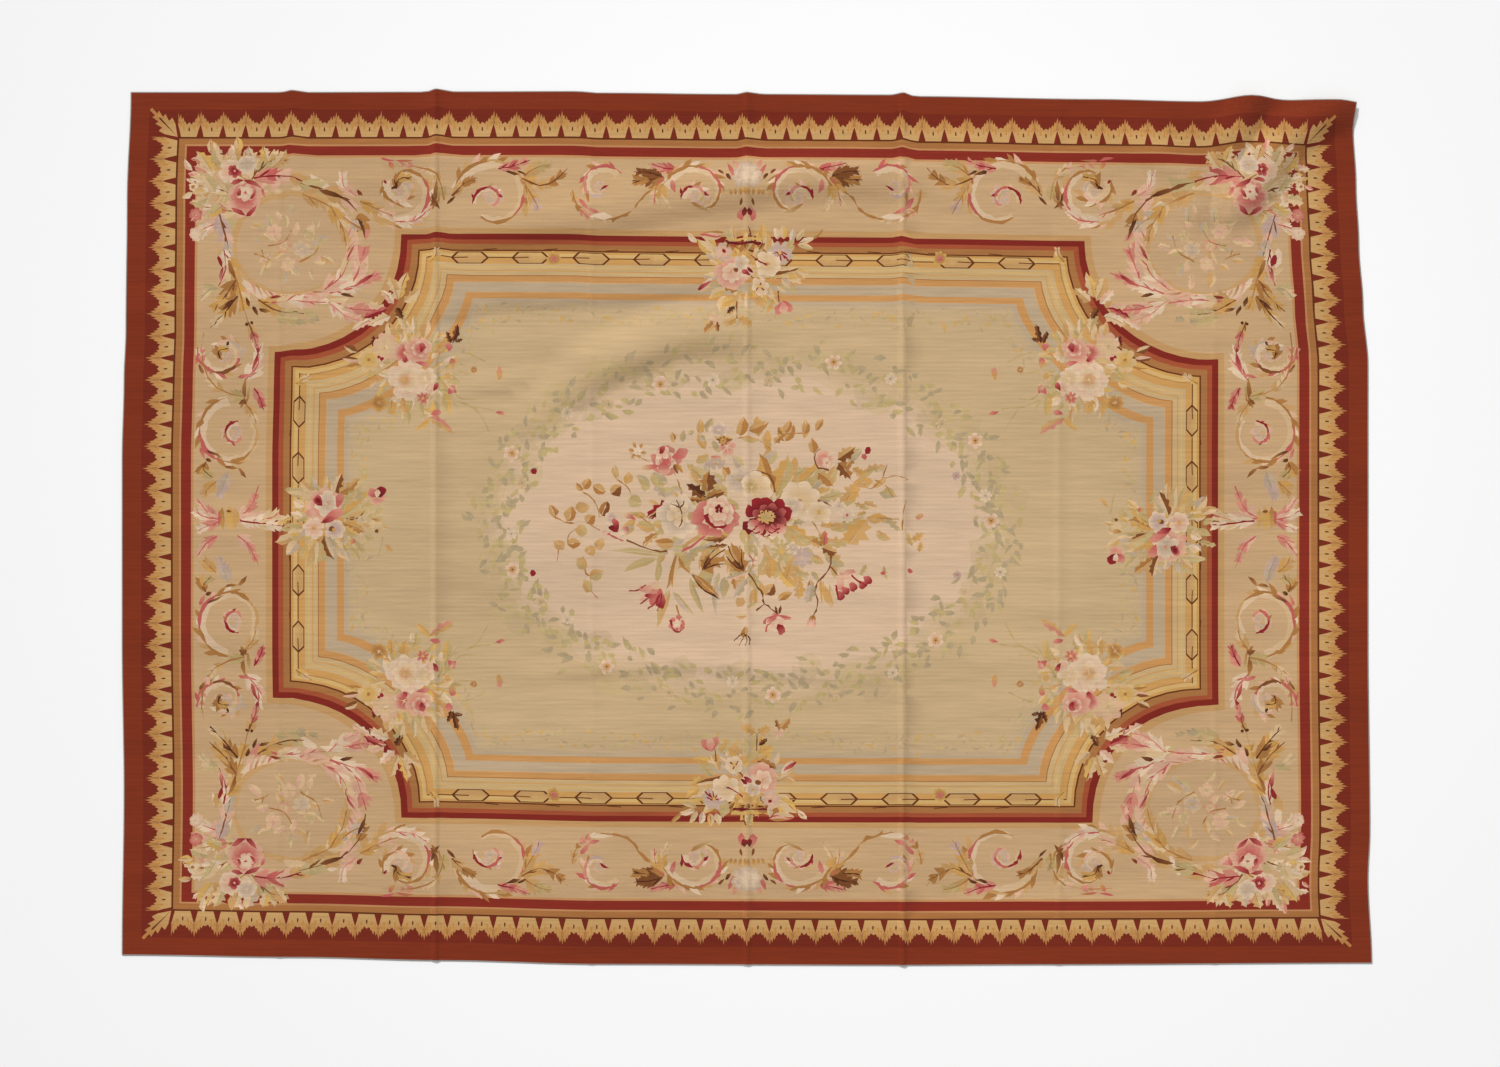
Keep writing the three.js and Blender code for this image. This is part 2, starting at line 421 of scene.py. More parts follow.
# The frame's bands: how far in from its rim each begins, and its wool.
FRAME_BANDS = (
    (-20, FRAME_TAN), (0, FRAME_RED), (20, FRAME_ORANGE_RED), (35, FRAME_BROWN), (55, FRAME_LINE),
    (60, REED_GOLD), (68, REED_BRIGHT), (80, REED_TAN), (84, REED_GOLD), (104, REED_PALE),
    (114, REED_BRIGHT), (119, REED_PALE), (127, REED_GOLD), (131, REED_PALE), (145, FRAME_BROWN),
    (148, LINE_ORANGE), (168, BORDER_GROUND), (172, GREY_BAND), (206, LINE_ORANGE), (228, GREY_BAND),
)
FIELD_IN = 276
FADING_IN = (240, 250, 260)  # the grey band fades into the field in these steps


def frame_bands():
    for inset, colour in FRAME_BANDS:
        cartoon.weave(framed(inset), colour)
    for inset in FADING_IN:
        cartoon.weave(framed(inset), FIELD, cover=0.45)
    cartoon.weave(framed(FIELD_IN), FIELD)


REED_IN = 83  # the middle line of the cells is this far in from the frame's rim
CELL_WIDE = 19  # half of a cell's width


def reed_cell(middle, ahead, across, pitch, long):
    """One six-sided cell, half of whose length is long, and the dark lines that bind it to the next."""

    def point(x, y):
        return middle + ahead * x + across * y

    wide = CELL_WIDE
    rim = [point(long, 0), point(long - 20, wide), point(22 - long, wide), point(-long, 0),
           point(22 - long, -wide), point(long - 20, -wide)]
    cartoon.weave(np.array(rim), FRAME_LINE)
    inner = [middle + (z - middle) * 0.86 for z in rim]
    cartoon.weave(np.array(inner), GOLD_TAN, REED_BRIGHT, middle, across * wide)
    near, far = long * 0.2 - pitch / 2, long * 0.9 - pitch / 2
    for line in (
        [point(long, 2), point(pitch - long, 2), point(pitch - long, -1), point(long, -1)],
        [point(long, 1), point(long * 0.1, 3), point(long * 0.1, 0), point(long, -2)],
        [point(near, wide + 8), point(far, wide + 5), point(far, wide + 8), point(near, wide + 11)],
    ):
        cartoon.weave(np.array(line), FRAME_LINE)


def reed_cells():
    """The long six-sided cells that the frame's reeds are bound in, on its straight sides."""
    half = FRAME_HALF - complex(REED_IN, REED_IN * FRAME_END_SHARE)
    for low, high, out, pitch, long in (
        (-(half.real - NOTCH.real) + 40, half.real - NOTCH.real - 40, 1j, 200, 62),
        (-(half.imag - NOTCH.imag) + 30, half.imag - NOTCH.imag - 30, 1, 178, 53),
    ):
        count = round((high - low) / pitch)
        for k in range(count):
            along = low + (high - low) * (k + 0.5) / count
            for side in (-1, 1):
                middle = complex(along, side * half.imag) if out == 1j else complex(side * half.real, along)
                ahead = (1 if out == 1j else 1j) * (1 if along > 0 else -1)
                reed_cell(middle, ahead, out * side, pitch, long)


OVAL_MIDDLE = 0 + 5j
OVAL_HALF = 760 + 480j
OVAL_STEPS = 72
OVAL_GROWN = (60, 40, 20, 0)  # it fades into the field over these larger ovals
SCALLOPS = 14
SCALLOP = 0.03


def oval(half):
    """The pale oval's scalloped outline."""
    turn = np.arange(OVAL_STEPS) / OVAL_STEPS * 2 * math.pi
    r = 1 + SCALLOP * np.cos(SCALLOPS * turn)
    return OVAL_MIDDLE + half.real * r * np.cos(turn) + 1j * half.imag * r * np.sin(turn)


def field():
    for grown in OVAL_GROWN:
        half = OVAL_HALF + grown * (1 + 1j)
        cartoon.weave(oval(half), OVAL, cover=0.3 if grown else 1.0)


def vary(colour, by=0.06):
    """The colour of one more batch of the same wool, a little lighter or darker."""
    return colour * (1 + rng.uniform(-by, by))


def strip(line, widths):
    """The outline of a strip along a line, with its width at each of the line's points."""
    ahead = np.gradient(line)
    across = 0.5j * ahead / np.abs(ahead) * widths
    return np.concatenate([line + across, (line - across)[::-1]])


def stem(points, width, colour, steps=None):
    """A stem through the points, from its foot to its thinner end."""
    line = curve(points, steps or 4 * (len(points) - 1))
    cartoon.weave(strip(line, np.linspace(width, width * 0.55, len(line))), vary(colour))


LEAF_STATIONS = np.array([0, 0.14, 0.36, 0.62, 0.84, 1.0])


def leaf(foot, tip, width, light, dark=None, bend=0.0, full=0.85):
    """A smooth leaf in a light and a dark half. bend bows its rib by a share of its length."""
    way = tip - foot
    t = LEAF_STATIONS
    rib = foot + way * (t + 1j * bend * 2 * t * (1 - t))
    half = 0.5j * way / abs(way) * width * np.sin(np.pi * t**full) ** 0.85
    dark = light * 0.82 if dark is None else dark
    cartoon.weave(np.concatenate([rib, (rib + half)[-2:0:-1]]), vary(light * 0.93), vary(light * 1.05),
                  foot, way)
    cartoon.weave(np.concatenate([rib, (rib - half)[-2:0:-1]]), vary(dark), vary(dark * 1.1), foot, way)


TORN_SIDE = np.array([0.06 + 0.1j, 0.2 + 0.42j, 0.34 + 0.26j, 0.5 + 0.5j, 0.6 + 0.27j, 0.79 + 0.34j,
                      0.85 + 0.14j])


def torn_leaf(foot, tip, width, light, dark=None, bend=0.0):
    """A broad leaf with three pointed lobes on each side of its rib, and the rib in a darker wool."""
    way = tip - foot
    dark = light * 0.86 if dark is None else dark

    def bow(z):
        return foot + way * (z + 1j * bend * 2 * z.real * (1 - z.real))

    uneven = rng.uniform(0.85, 1.2, (2, len(TORN_SIDE)))
    side = [TORN_SIDE.real + 1j * TORN_SIDE.imag * row * width / abs(way) for row in uneven]
    rib = bow(np.linspace(1, 0, 5) + 0j)
    cartoon.weave(np.concatenate([rib, bow(side[0])]), vary(light * 0.92), vary(light * 1.05), foot, way)
    cartoon.weave(np.concatenate([rib, bow(side[1].conj())]), vary(dark), vary(dark * 1.08), foot, way)
    if abs(way) > 30:
        cartoon.weave(strip(rib[1:], np.array([0.5, 1.4, 2.0, 2.6])), vary(dark * 0.72))


PETAL = np.array([0.0 + 0.08j, 0.3 + 0.36j, 0.62 + 0.5j, 0.88 + 0.36j, 1.0 + 0.12j])


def petal(foot, tip, width, colour, to=None):
    """A rounded petal, which shades from its foot to its rim."""
    way = tip - foot
    half = PETAL.real + 1j * PETAL.imag * width / abs(way)
    outline = foot + way * np.concatenate([half, half.conj()[::-1]])
    cartoon.weave(outline, vary(colour), vary(colour * 1.1 if to is None else to), foot + 0.2 * way,
                  way * 0.8)


def on_oval(middle, half, turn):
    """The pixel at this angle on the oval of these half sizes."""
    return middle[0] + half[0] * math.cos(turn), middle[1] + half[1] * math.sin(turn)


def around(at, angle, reach):
    return at + reach * complex(math.cos(angle), math.sin(angle))


def ring(at, radius, count, width, colour, to=None, turn=0.0, foot=0.25, flat=1.0):
    """A ring of petals round a place. flat is the ring's height as a share of its width."""
    for k in range(count):
        way = radius * np.exp(1j * (turn + 2 * math.pi * k / count + rng.uniform(-0.12, 0.12)))
        way = complex(way.real, way.imag * flat) * rng.uniform(0.9, 1.08)
        petal(at + foot * way, at + way, width * radius, colour, to)


def blot(at, radius, colour, steps=8, flat=1.0):
    """A small spot of one wool."""
    turn = np.arange(steps) / steps * 2 * math.pi
    uneven = rng.uniform(0.82, 1.12, steps)
    cartoon.weave(at + radius * uneven * (np.cos(turn) + 1j * flat * np.sin(turn)), vary(colour))


# A dark fold between a rose's petals: its turns, and how far out each is as a share of the rose.
ROSE_FOLD = ((0, 0.34), (0.5, 0.42), (1.0, 0.4), (1.4, 0.3))


def rose(at, radius, outer, inner, heart, turn=0.0):
    """A full-blown rose: three rings of petals, each with a shadow at its foot, round a dark heart."""
    ring(at, radius, 7, 0.82, outer * 0.72, outer, turn, 0.3)
    ring(at, radius * 0.74, 6, 0.84, outer * 0.9, inner, turn + 0.4, 0.2)
    ring(at, radius * 0.5, 5, 0.9, heart, inner, turn + 0.2, 0.2)
    blot(at, radius * 0.2, heart)
    for k in range(3):
        line = [around(at, turn + 2.1 * k + a, radius * r) for a, r in ROSE_FOLD]
        stem(line, radius * 0.09, heart, 5)


def daisy(at, radius, colour, heart, turn=0.0):
    ring(at, radius, 8, 0.5, colour * 0.85, colour, turn, 0.2)
    blot(at, radius * 0.24, heart, 6)


def bud(foot, tip, width, colour, to, cup):
    """A closed flower: three petals in a leafy cup."""
    way = tip - foot
    for side in (-1, 1):
        petal(foot + 0.1 * way, foot + way * complex(0.94, side * 0.22), width * 0.6, colour, to)
    petal(foot + 0.1 * way, tip, width * 0.55, to, to * 1.1)
    for side in (-1, 0, 1):
        leaf(foot - 0.1 * way, foot + way * complex(0.45 - 0.1 * abs(side), side * 0.3), width * 0.22, cup)


# The motifs are listed in the photograph's pixels. A leaf's, petal's or stroke's row is its foot, its tip,
# its width and two wools. A ring's is its place, radius, number of petals, how wide they are, and two
# wools. A frond's is its points, its width, its wools from foot to tip, and its vein's.
def leaves(rows, torn=False, at=seen):
    shape = torn_leaf if torn else leaf
    for x0, y0, x1, y1, width, light, dark in rows:
        shape(at(x0, y0), at(x1, y1), width * PIXEL, light, dark, rng.uniform(-0.12, 0.12))


def petals(rows, at=seen):
    for x0, y0, x1, y1, width, colour, to in rows:
        petal(at(x0, y0), at(x1, y1), width * PIXEL, colour, to)


def rings(rows, at=seen):
    for x, y, radius, count, width, colour, to in rows:
        ring(at(x, y), radius * PIXEL, count, width, colour, to, rng.uniform(0, 1), 0.15)


def blots(rows, at=seen):
    for x, y, radius, colour in rows:
        blot(at(x, y), radius * PIXEL, colour, 7)


def pairs(row, at=seen):
    """The places of a row of pixels, given as x, y, x, y and so on."""
    return [at(*row[k:k + 2]) for k in range(0, len(row), 2)]


def stems(rows, colour, width=1.3, at=seen):
    for row in rows:
        stem(pairs(row, at), width * PIXEL, colour)


def thread(row, width, colour, steps):
    stem(pairs(row), width * PIXEL, colour, steps)


def whorl(x, y, radius, *form):
    """A ring of petals at this pixel. Its form is as in ring."""
    ring(seen(x, y), radius * PIXEL, *form)


def spot(x, y, radius, *form):
    blot(seen(x, y), radius * PIXEL, *form)


def foliage(middle, half, count, length, tints, at=seen, inner=0.0):
    """A mass of overlapping leaves that point away from the middle, under the flowers."""
    for k in range(count):
        turn = 2.4 * k + rng.uniform(-0.3, 0.3)
        share = inner + (1 - inner) * math.sqrt((k + 0.5) / count)
        x, y = on_oval(middle, (half[0] * share, half[1] * share), turn)
        lean = turn + rng.uniform(-0.7, 0.7)
        reach = length * rng.uniform(0.7, 1.25)
        light, dark = tints[rng.integers(len(tints))]
        shape = torn_leaf if k % 3 == 0 else leaf
        tip = at(*on_oval((x, y), (reach, reach), lean))
        shape(at(x, y), tip, reach * rng.uniform(0.4, 0.6) * PIXEL, light, dark,
              rng.uniform(-0.2, 0.2))


ROUND_LEAVES = (
    (555, 517, 550, 505, 10, GOLD_TAN, GOLD_BROWN), (568, 522, 573, 506, 12, GOLD_TAN, GOLD_BROWN),
    (576, 509, 590, 507, 12, GOLD_TAN, GOLD_TAN), (586, 523, 595, 515, 12, GOLD_TAN, GOLD_BROWN),
    (580, 536, 582, 524, 12, GOLD_TAN, OLIVE), (583, 489, 590, 479, 10, GOLD_TAN, GOLD_BROWN),
    (593, 486, 606, 492, 11, GOLD_TAN, GOLD_BROWN), (583, 491, 576, 483, 6, GOLD_TAN, GOLD_BROWN),
    (602, 516, 608, 501, 11, GOLD_BROWN, BROWN), (611, 494, 622, 486, 12, GOLD_TAN, BROWN),
    (627, 484, 629, 472, 10, GOLD, GOLD_TAN), (618, 479, 614, 464, 7, GOLD_TAN, OLIVE),
    (628, 499, 642, 505, 14, OLIVE, PALE_OLIVE), (645, 481, 645, 492, 9, PALE_OLIVE, OLIVE),
    (652, 474, 657, 487, 8, PALE_OLIVE, OLIVE), (564, 549, 554, 541, 12, GOLD_TAN, GOLD_TAN),
    (568, 544, 581, 543, 11, GOLD_TAN, GOLD_BROWN), (581, 537, 582, 525, 11, GOLD_TAN, OLIVE),
    (597, 550, 603, 538, 11, GOLD_TAN, GOLD_TAN), (586, 554, 595, 546, 11, GOLD_TAN, GOLD_TAN),
    (586, 570, 577, 558, 12, OLIVE, GOLD_TAN), (590, 577, 604, 571, 13, GOLD_TAN, OLIVE),
    (590, 592, 584, 579, 11, GOLD_TAN, OLIVE),
)
LONG_LEAVES = (
    (666, 556, 608, 551, 6, OLIVE, PALE_OLIVE), (658, 559, 623, 571, 9, OLIVE, PALE_OLIVE),
    (660, 560, 657, 584, 6, PALE_OLIVE, OLIVE), (676, 552, 667, 590, 7, GOLD_TAN, GOLD_BROWN),
    (678, 554, 672, 588, 6, CREAM, GOLD_BROWN), (673, 592, 695, 616, 7, OLIVE, SILVER),
    (690, 577, 704, 613, 7, GREY_OLIVE, OLIVE), (717, 577, 716, 616, 8, SILVER, GREY_OLIVE),
    (670, 590, 657, 628, 9, GOLD_TAN, OLIVE), (679, 555, 690, 574, 8, OLIVE, GOLD_BROWN),
    (681, 552, 707, 533, 8, GOLD_TAN, ROSE), (691, 573, 720, 599, 9, GOLD_BROWN, DARK_BROWN),
    (693, 574, 716, 595, 5, GOLD_TAN, GOLD_BROWN), (719, 573, 713, 590, 6, PALE_OLIVE, SILVER),
)
TWIG_LEAVES = (
    (739, 436, 744, 417, 12, GOLD_TAN, GOLD_BROWN), (749, 431, 768, 422, 12, GOLD_TAN, GOLD_BROWN),
    (741, 438, 760, 440, 7, GOLD_TAN, OLIVE), (768, 444, 767, 430, 8, GOLD_TAN, GOLD),
    (783, 434, 778, 427, 8, GOLD_BROWN, GOLD_TAN), (785, 433, 791, 420, 8, GOLD_TAN, GOLD_BROWN),
    (804, 434, 808, 423, 8, GOLD_TAN, GOLD_BROWN), (816, 431, 823, 419, 7, GOLD_TAN, GOLD_BROWN),
    (700, 434, 701, 419, 9, GOLD_TAN, GOLD), (706, 432, 713, 418, 8, GREY_OLIVE, OLIVE),
    (694, 431, 688, 434, 5, GREY_OLIVE, OLIVE), (700, 436, 705, 441, 7, GREY_OLIVE, SILVER),
    (674, 443, 672, 432, 6, GOLD_TAN, GOLD_BROWN), (682, 442, 684, 430, 6, OLIVE, GREY_OLIVE),
    (696, 462, 709, 455, 9, GOLD_TAN, OLIVE), (711, 458, 721, 457, 5, PINK, GOLD_TAN),
)
BROWN_LEAVES = (
    (708, 492, 709, 471, 18, GOLD_BROWN, BROWN), (706, 497, 686, 484, 12, BROWN, DARK_BROWN),
    (706, 499, 726, 491, 11, GOLD_BROWN, BROWN), (707, 500, 688, 499, 7, BROWN, GOLD_BROWN),
    (735, 488, 722, 466, 14, GOLD_TAN, GOLD_BROWN), (722, 541, 712, 537, 8, BROWN, DARK_BROWN),
    (727, 537, 703, 540, 7, BROWN, GOLD_BROWN), (727, 545, 706, 548, 6, GOLD_BROWN, BROWN),
    (671, 503, 645, 519, 11, GOLD_TAN, CRIMSON), (664, 512, 648, 519, 6, CRIMSON, DARK_BROWN),
)
GOLD_LEAVES = (
    (776, 496, 788, 454, 22, GOLD, OLIVE), (774, 486, 760, 454, 13, GOLD, GOLD_BROWN),
    (800, 484, 822, 462, 17, GOLD, OLIVE), (818, 473, 834, 486, 15, GOLD_TAN, GOLD_BROWN),
    (812, 496, 834, 488, 9, GOLD, CREAM), (838, 460, 856, 447, 14, GOLD_TAN, BROWN),
    (838, 463, 851, 480, 15, GOLD_BROWN, BROWN), (853, 468, 865, 478, 10, GOLD, GOLD_TAN),
    (846, 500, 856, 482, 17, GOLD_TAN, GOLD), (860, 508, 874, 502, 8, GOLD_TAN, OLIVE),
    (848, 545, 868, 518, 24, GOLD, GOLD_TAN), (786, 527, 818, 544, 14, GOLD, OLIVE),
    (822, 546, 809, 541, 10, GOLD_TAN, GOLD_BROWN), (822, 548, 838, 553, 10, GOLD_TAN, BROWN),
    (824, 546, 825, 530, 9, GOLD_BROWN, ROSE), (770, 578, 772, 556, 14, GOLD_TAN, GOLD),
    (780, 572, 795, 588, 12, GOLD, YELLOW), (786, 578, 791, 560, 12, GOLD, GOLD_TAN),
    (747, 578, 733, 598, 9, GREY_OLIVE, SILVER), (748, 571, 724, 580, 8, BLUSH, GREY_OLIVE),
    (813, 583, 806, 604, 11, GREY_OLIVE, SILVER), (795, 573, 810, 575, 8, OLIVE, PALE_OLIVE),
    (866, 565, 860, 577, 6, PALE_OLIVE, OLIVE), (884, 566, 887, 580, 5, PALE_OLIVE, OLIVE),
    (916, 519, 924, 514, 7, GOLD_TAN, PINK), (911, 539, 925, 533, 8, GOLD_TAN, GOLD),
    (912, 546, 908, 532, 7, GOLD_TAN, OLIVE), (919, 552, 922, 541, 6, GOLD_TAN, GOLD),
    (864, 504, 878, 508, 7, GOLD_TAN, CREAM), (866, 512, 856, 516, 6, OLIVE, GOLD_TAN),
)
THIN_STEMS = ((552, 515, 568, 523, 584, 522, 600, 530), (583, 492, 591, 497, 597, 506, 600, 518),
              (617, 479, 629, 489, 632, 500), (559, 548, 557, 562), (568, 545, 569, 535, 580, 526),
              (583, 556, 585, 571, 591, 578, 591, 590, 598, 598), (737, 438, 758, 440, 770, 448),
              (782, 434, 806, 433), (673, 470, 680, 486, 683, 500), (650, 462, 630, 453),
              (640, 516, 650, 524), (887, 465, 881, 480, 870, 489, 864, 484),
              (893, 497, 886, 486, 875, 480), (902, 530, 903, 514, 906, 500),
              (884, 478, 896, 476, 908, 480), (899, 519, 880, 518), (824, 540, 812, 522, 800, 518))
STRONG_STEMS = (
    (748, 573, 761, 591, 765, 604, 779, 614), (831, 552, 830, 567, 816, 587, 818, 604, 813, 617),
    (831, 567, 839, 577), (626, 540, 652, 550, 668, 551), (684, 502, 690, 509, 702, 512),
    (806, 498, 805, 511), (808, 500, 821, 501, 833, 507), (756, 611, 764, 604),
)


MUTED = ((GOLD_TAN, OLIVE), (PALE_OLIVE, OLIVE), (CREAM, GOLD_TAN), (SILVER, PALE_OLIVE), (GOLD, GOLD_TAN),
         (OLIVE, GREY_OLIVE))


def bouquet_leaves():
    foliage((752, 520), (98, 56), 120, 20, MUTED)
    foliage((760, 512), (128, 78), 46, 17,
            ((GOLD_TAN, GOLD_BROWN), (GOLD_TAN, OLIVE), (OLIVE, GREY_OLIVE), (GOLD, GOLD_TAN)), inner=0.72)
    stems(THIN_STEMS, GOLD_BROWN, 1.2)
    stems(STRONG_STEMS, BROWN, 1.8)
    leaves(ROUND_LEAVES)
    leaves(LONG_LEAVES)
    leaves(TWIG_LEAVES)
    leaves(GOLD_LEAVES, torn=True)
    leaves(BROWN_LEAVES, torn=True)
    stem(pairs((752, 471, 766, 473, 772, 480, 775, 492)), 7, BROWN, 8)
    stem(pairs((754, 473, 764, 478, 769, 488)), 4, DARK_BROWN, 6)


PEONY = (768, 517)


def peony(at):
    """The crimson flower in the middle, open towards the viewer, with its gold stamens."""
    ring(at, 23 * PIXEL, 9, 0.62, DEEP_CRIMSON, CRIMSON * 1.15, 0.2, 0.3, 0.85)
    ring(at + 2 * PIXEL, 18 * PIXEL, 8, 0.55, DEEP_CRIMSON, ROSE * 0.9, 0.5, 0.3, 0.8)
    petal(at - (14 + 6j) * PIXEL, at - (24 + 14j) * PIXEL, 14 * PIXEL, CRIMSON, DEEP_CRIMSON)
    for k, (x, y, u, v) in enumerate(((-10, -4, -20, -12), (-4, -8, -12, -18), (4, -8, 4, -22),
                                      (10, -6, 16, -16))):
        petal(at + complex(x, y) * PIXEL, at + complex(u, v) * PIXEL, 10 * PIXEL, ROSE,
              BLUSH if k % 2 else IVORY)
    for x, y in ((8, -14), (12, -11), (2, -18), (-8, -15)):
        stem([at + complex(x, y) * PIXEL, at + complex(x - 5, y - 2) * PIXEL,
              at + complex(x - 9, y + 1) * PIXEL], 1.6 * PIXEL, CRIMSON, 5)
    ring(at - 2 * PIXEL, 9 * PIXEL, 9, 0.42, GOLD_TAN, YELLOW, 0.1, 0.2, 0.8)
    blot(at - 2 * PIXEL, 3 * PIXEL, OLIVE)
    for k in range(6):
        blot(around(at - 2 * PIXEL, k + 0.3, 6 * PIXEL), 1.1 * PIXEL, DEEP_CRIMSON, 4)


def white_flower():
    """The white flower at the left, its petals and its dark stamens."""
    whorl(678, 516, 22, 7, 0.8, SILVER, IVORY, 0.3, 0.2)
    whorl(679, 514, 13, 5, 0.8, CREAM, IVORY, 0.9, 0.2)
    for x, y, u, v in ((679, 508, 676, 500), (680, 508, 684, 501), (680, 508, 682, 520),
                       (678, 507, 671, 504), (682, 520, 679, 527)):
        stem([seen(x, y), seen((x + u) / 2 + 1, (y + v) / 2), seen(u, v)], 1.6 * PIXEL, DARK_BROWN, 4)
    spot(693, 516, 5, OLIVE)


def pale_flowers():
    """Pale flowers behind the peony."""
    whorl(740, 480, 14, 6, 0.85, SILVER, IVORY * 0.95, 0.1, 0.15)
    whorl(757, 487, 16, 6, 0.85, CREAM, IVORY, 0.6, 0.15)
    whorl(752, 487, 8, 5, 0.8, OLIVE, CREAM, 0.2, 0.15)
    whorl(800, 500, 20, 7, 0.8, CREAM, IVORY, 0.4, 0.1)
    whorl(793, 506, 11, 5, 0.8, SILVER, IVORY, 0.1, 0.1)


def lilac_flower():
    """The lilac flower over the rose, with brown seed."""
    whorl(719, 430, 10, 7, 0.7, LILAC, IVORY, 0.2, 0.2, 0.7)
    whorl(727, 447, 9, 6, 0.7, PINK, BLUSH, 0.2, 0.2)
    whorl(716, 464, 9, 6, 0.7, SILVER, LILAC, 0.2, 0.2, 0.6)
    leaf(seen(716, 439), seen(733, 439), 7 * PIXEL, GOLD, BROWN)
    whorl(723, 441, 5, 6, 0.6, GOLD, BROWN, 0.3, 0.1)


def upper_rose():
    """The pink rose at the top left."""
    rose(seen(666, 461), 15 * PIXEL, PINK, IVORY, ROSE, 0.3)
    petals(((672, 458, 688, 450, 11, ROSE, PINK), (664, 462, 665, 475, 12, ROSE, BLUSH),
            (660, 466, 640, 469, 6, ROSE, CREAM)))
    whorl(662, 452, 8, 5, 0.8, BLUSH, IVORY, 0.5, 0.1)
    petals([(660, 454, 664, 446, 6, CRIMSON, ROSE)])
    whorl(637, 451, 9, 6, 0.4, GOLD_BROWN, GOLD_TAN, 0.9, 0.3)
    whorl(638, 451, 5, 5, 0.7, IVORY, IVORY, 0.2, 0.1)
    leaves(((674, 464, 678, 474, 5, GOLD_BROWN, BROWN), (676, 463, 683, 473, 4, GOLD, GOLD_BROWN)))


def red_bud():
    """The red bud at the left and its white petals."""
    whorl(612, 518, 7, 5, 0.8, LILAC, IVORY, 0.2, 0.1)
    petals(((618, 538, 602, 531, 7, IVORY, BLUSH), (618, 530, 614, 519, 8, CRIMSON, ROSE),
            (618, 532, 609, 526, 6, CRIMSON, DEEP_CRIMSON), (620, 535, 628, 528, 8, IVORY, ROSE)))
    thread((608, 533, 616, 538, 624, 541), 2.4, ROSE, 6)
    petals([(635, 519, 624, 514, 6, ROSE, CREAM)])


def pink_rose():
    """The pink rose beside the peony."""
    whorl(716, 519, 25, 8, 0.6, ROSE, PINK, 0.0, 0.4, 0.75)
    whorl(719, 513, 16, 7, 0.8, PINK, IVORY, 0.3, 0.2)
    whorl(719, 511, 10, 6, 0.85, BLUSH, IVORY * 1.02, 0.1, 0.2)
    thread((706, 514, 709, 522, 716, 527, 726, 526), 5, CRIMSON, 8)
    whorl(719, 509, 4.5, 5, 0.8, DEEP_CRIMSON, CRIMSON, 0.3, 0.1)


def left_tulip():
    """The tulip and the bud that hang at the bottom left."""
    for u, v, w, tint, rim in ((638, 590, 9, BLUSH, PINK), (641, 601, 9, PINK, BLUSH),
                               (650, 605, 10, PINK, ROSE), (660, 609, 10, ROSE, CRIMSON),
                               (652, 583, 9, CREAM, BLUSH)):
        petal(seen(660, 588), seen(u, v), w * PIXEL, tint, rim)
    stems(((629, 591, 638, 590, 646, 585), (640, 604, 650, 597, 656, 594), (648, 609, 655, 603, 660, 594),
           (657, 611, 661, 602, 661, 593)), CRIMSON, 1.4)
    petals([(657, 597, 645, 595, 5, ROSE, CRIMSON)])
    whorl(677, 624, 9, 6, 0.7, ROSE, PINK, 0.3, 0.3)
    whorl(677, 624, 5, 5, 0.8, IVORY, BLUSH, 0.3, 0.1)
    thread((671, 620, 672, 628, 679, 632, 684, 627), 1.8, CRIMSON, 7)
    thread((676, 605, 679, 614, 683, 618), 1.6, GOLD_BROWN, 5)


def curled_leaves():
    """Two curled brown leaves under the rose."""
    for x, y, u, v, w in ((702, 570, 728, 551, 22), (744, 571, 730, 543, 23)):
        foot, tip = seen(x, y), seen(u, v)
        torn_leaf(foot, tip, w * PIXEL, GOLD_TAN, GOLD_BROWN, 0.12)
        torn_leaf(foot, foot + 0.55 * (tip - foot) * np.exp(0.5j), w * 0.5 * PIXEL, GOLD_BROWN, BROWN)
        for turn, reach in ((-0.35, 0.7), (0.1, 0.95), (0.4, 0.75)):
            way = (tip - foot) * np.exp(1j * turn) * reach
            stem([foot + 0.1 * way, foot + (0.55 + 0.06j) * way, foot + way], 1.4 * PIXEL, DARK_BROWN, 4)
    whorl(753, 560, 8, 5, 0.6, IVORY, BLUSH, 0.4, 0.2)
    thread((749, 555, 753, 560, 752, 567), 1.3, ROSE, 4)


def small_flowers():
    """The yellow and grey flowers under the peony."""
    whorl(782, 551, 13, 9, 0.32, OLIVE, PALE_OLIVE, 0.2, 0.1)
    spot(782, 551, 3, YELLOW)
    whorl(802, 557, 12, 7, 0.5, LILAC, SILVER, 0.2, 0.1)
    whorl(793, 548, 7, 5, 0.6, SILVER, IVORY, 0.2, 0.1)


def right_tulip():
    """The hanging tulip at the right."""
    for u, v, w, tint, rim in ((856, 572, 9, BLUSH, PINK), (848, 579, 11, PINK, IVORY),
                               (864, 578, 9, BLUSH, IVORY), (842, 590, 8, BLUSH, PINK)):
        petal(seen(838, 577), seen(u, v), w * PIXEL, tint, rim)
    for u, v in ((870, 583), (865, 588), (856, 590), (848, 594), (843, 599)):
        petal(seen(u - 6, v - 7), seen(u, v), 9 * PIXEL, ROSE, CRIMSON)
    stems(((851, 575, 858, 581, 866, 585), (836, 585, 837, 592, 838, 598)), CRIMSON, 2.2)
    leaves(((819, 580, 822, 606, 5, GOLD_TAN, CREAM), (823, 581, 832, 608, 7, GOLD_TAN, GOLD),
            (829, 584, 833, 606, 4, CREAM, GOLD_TAN)))
    bud(seen(813, 616), seen(811, 628), 10 * PIXEL, PINK, BLUSH, GOLD_BROWN)


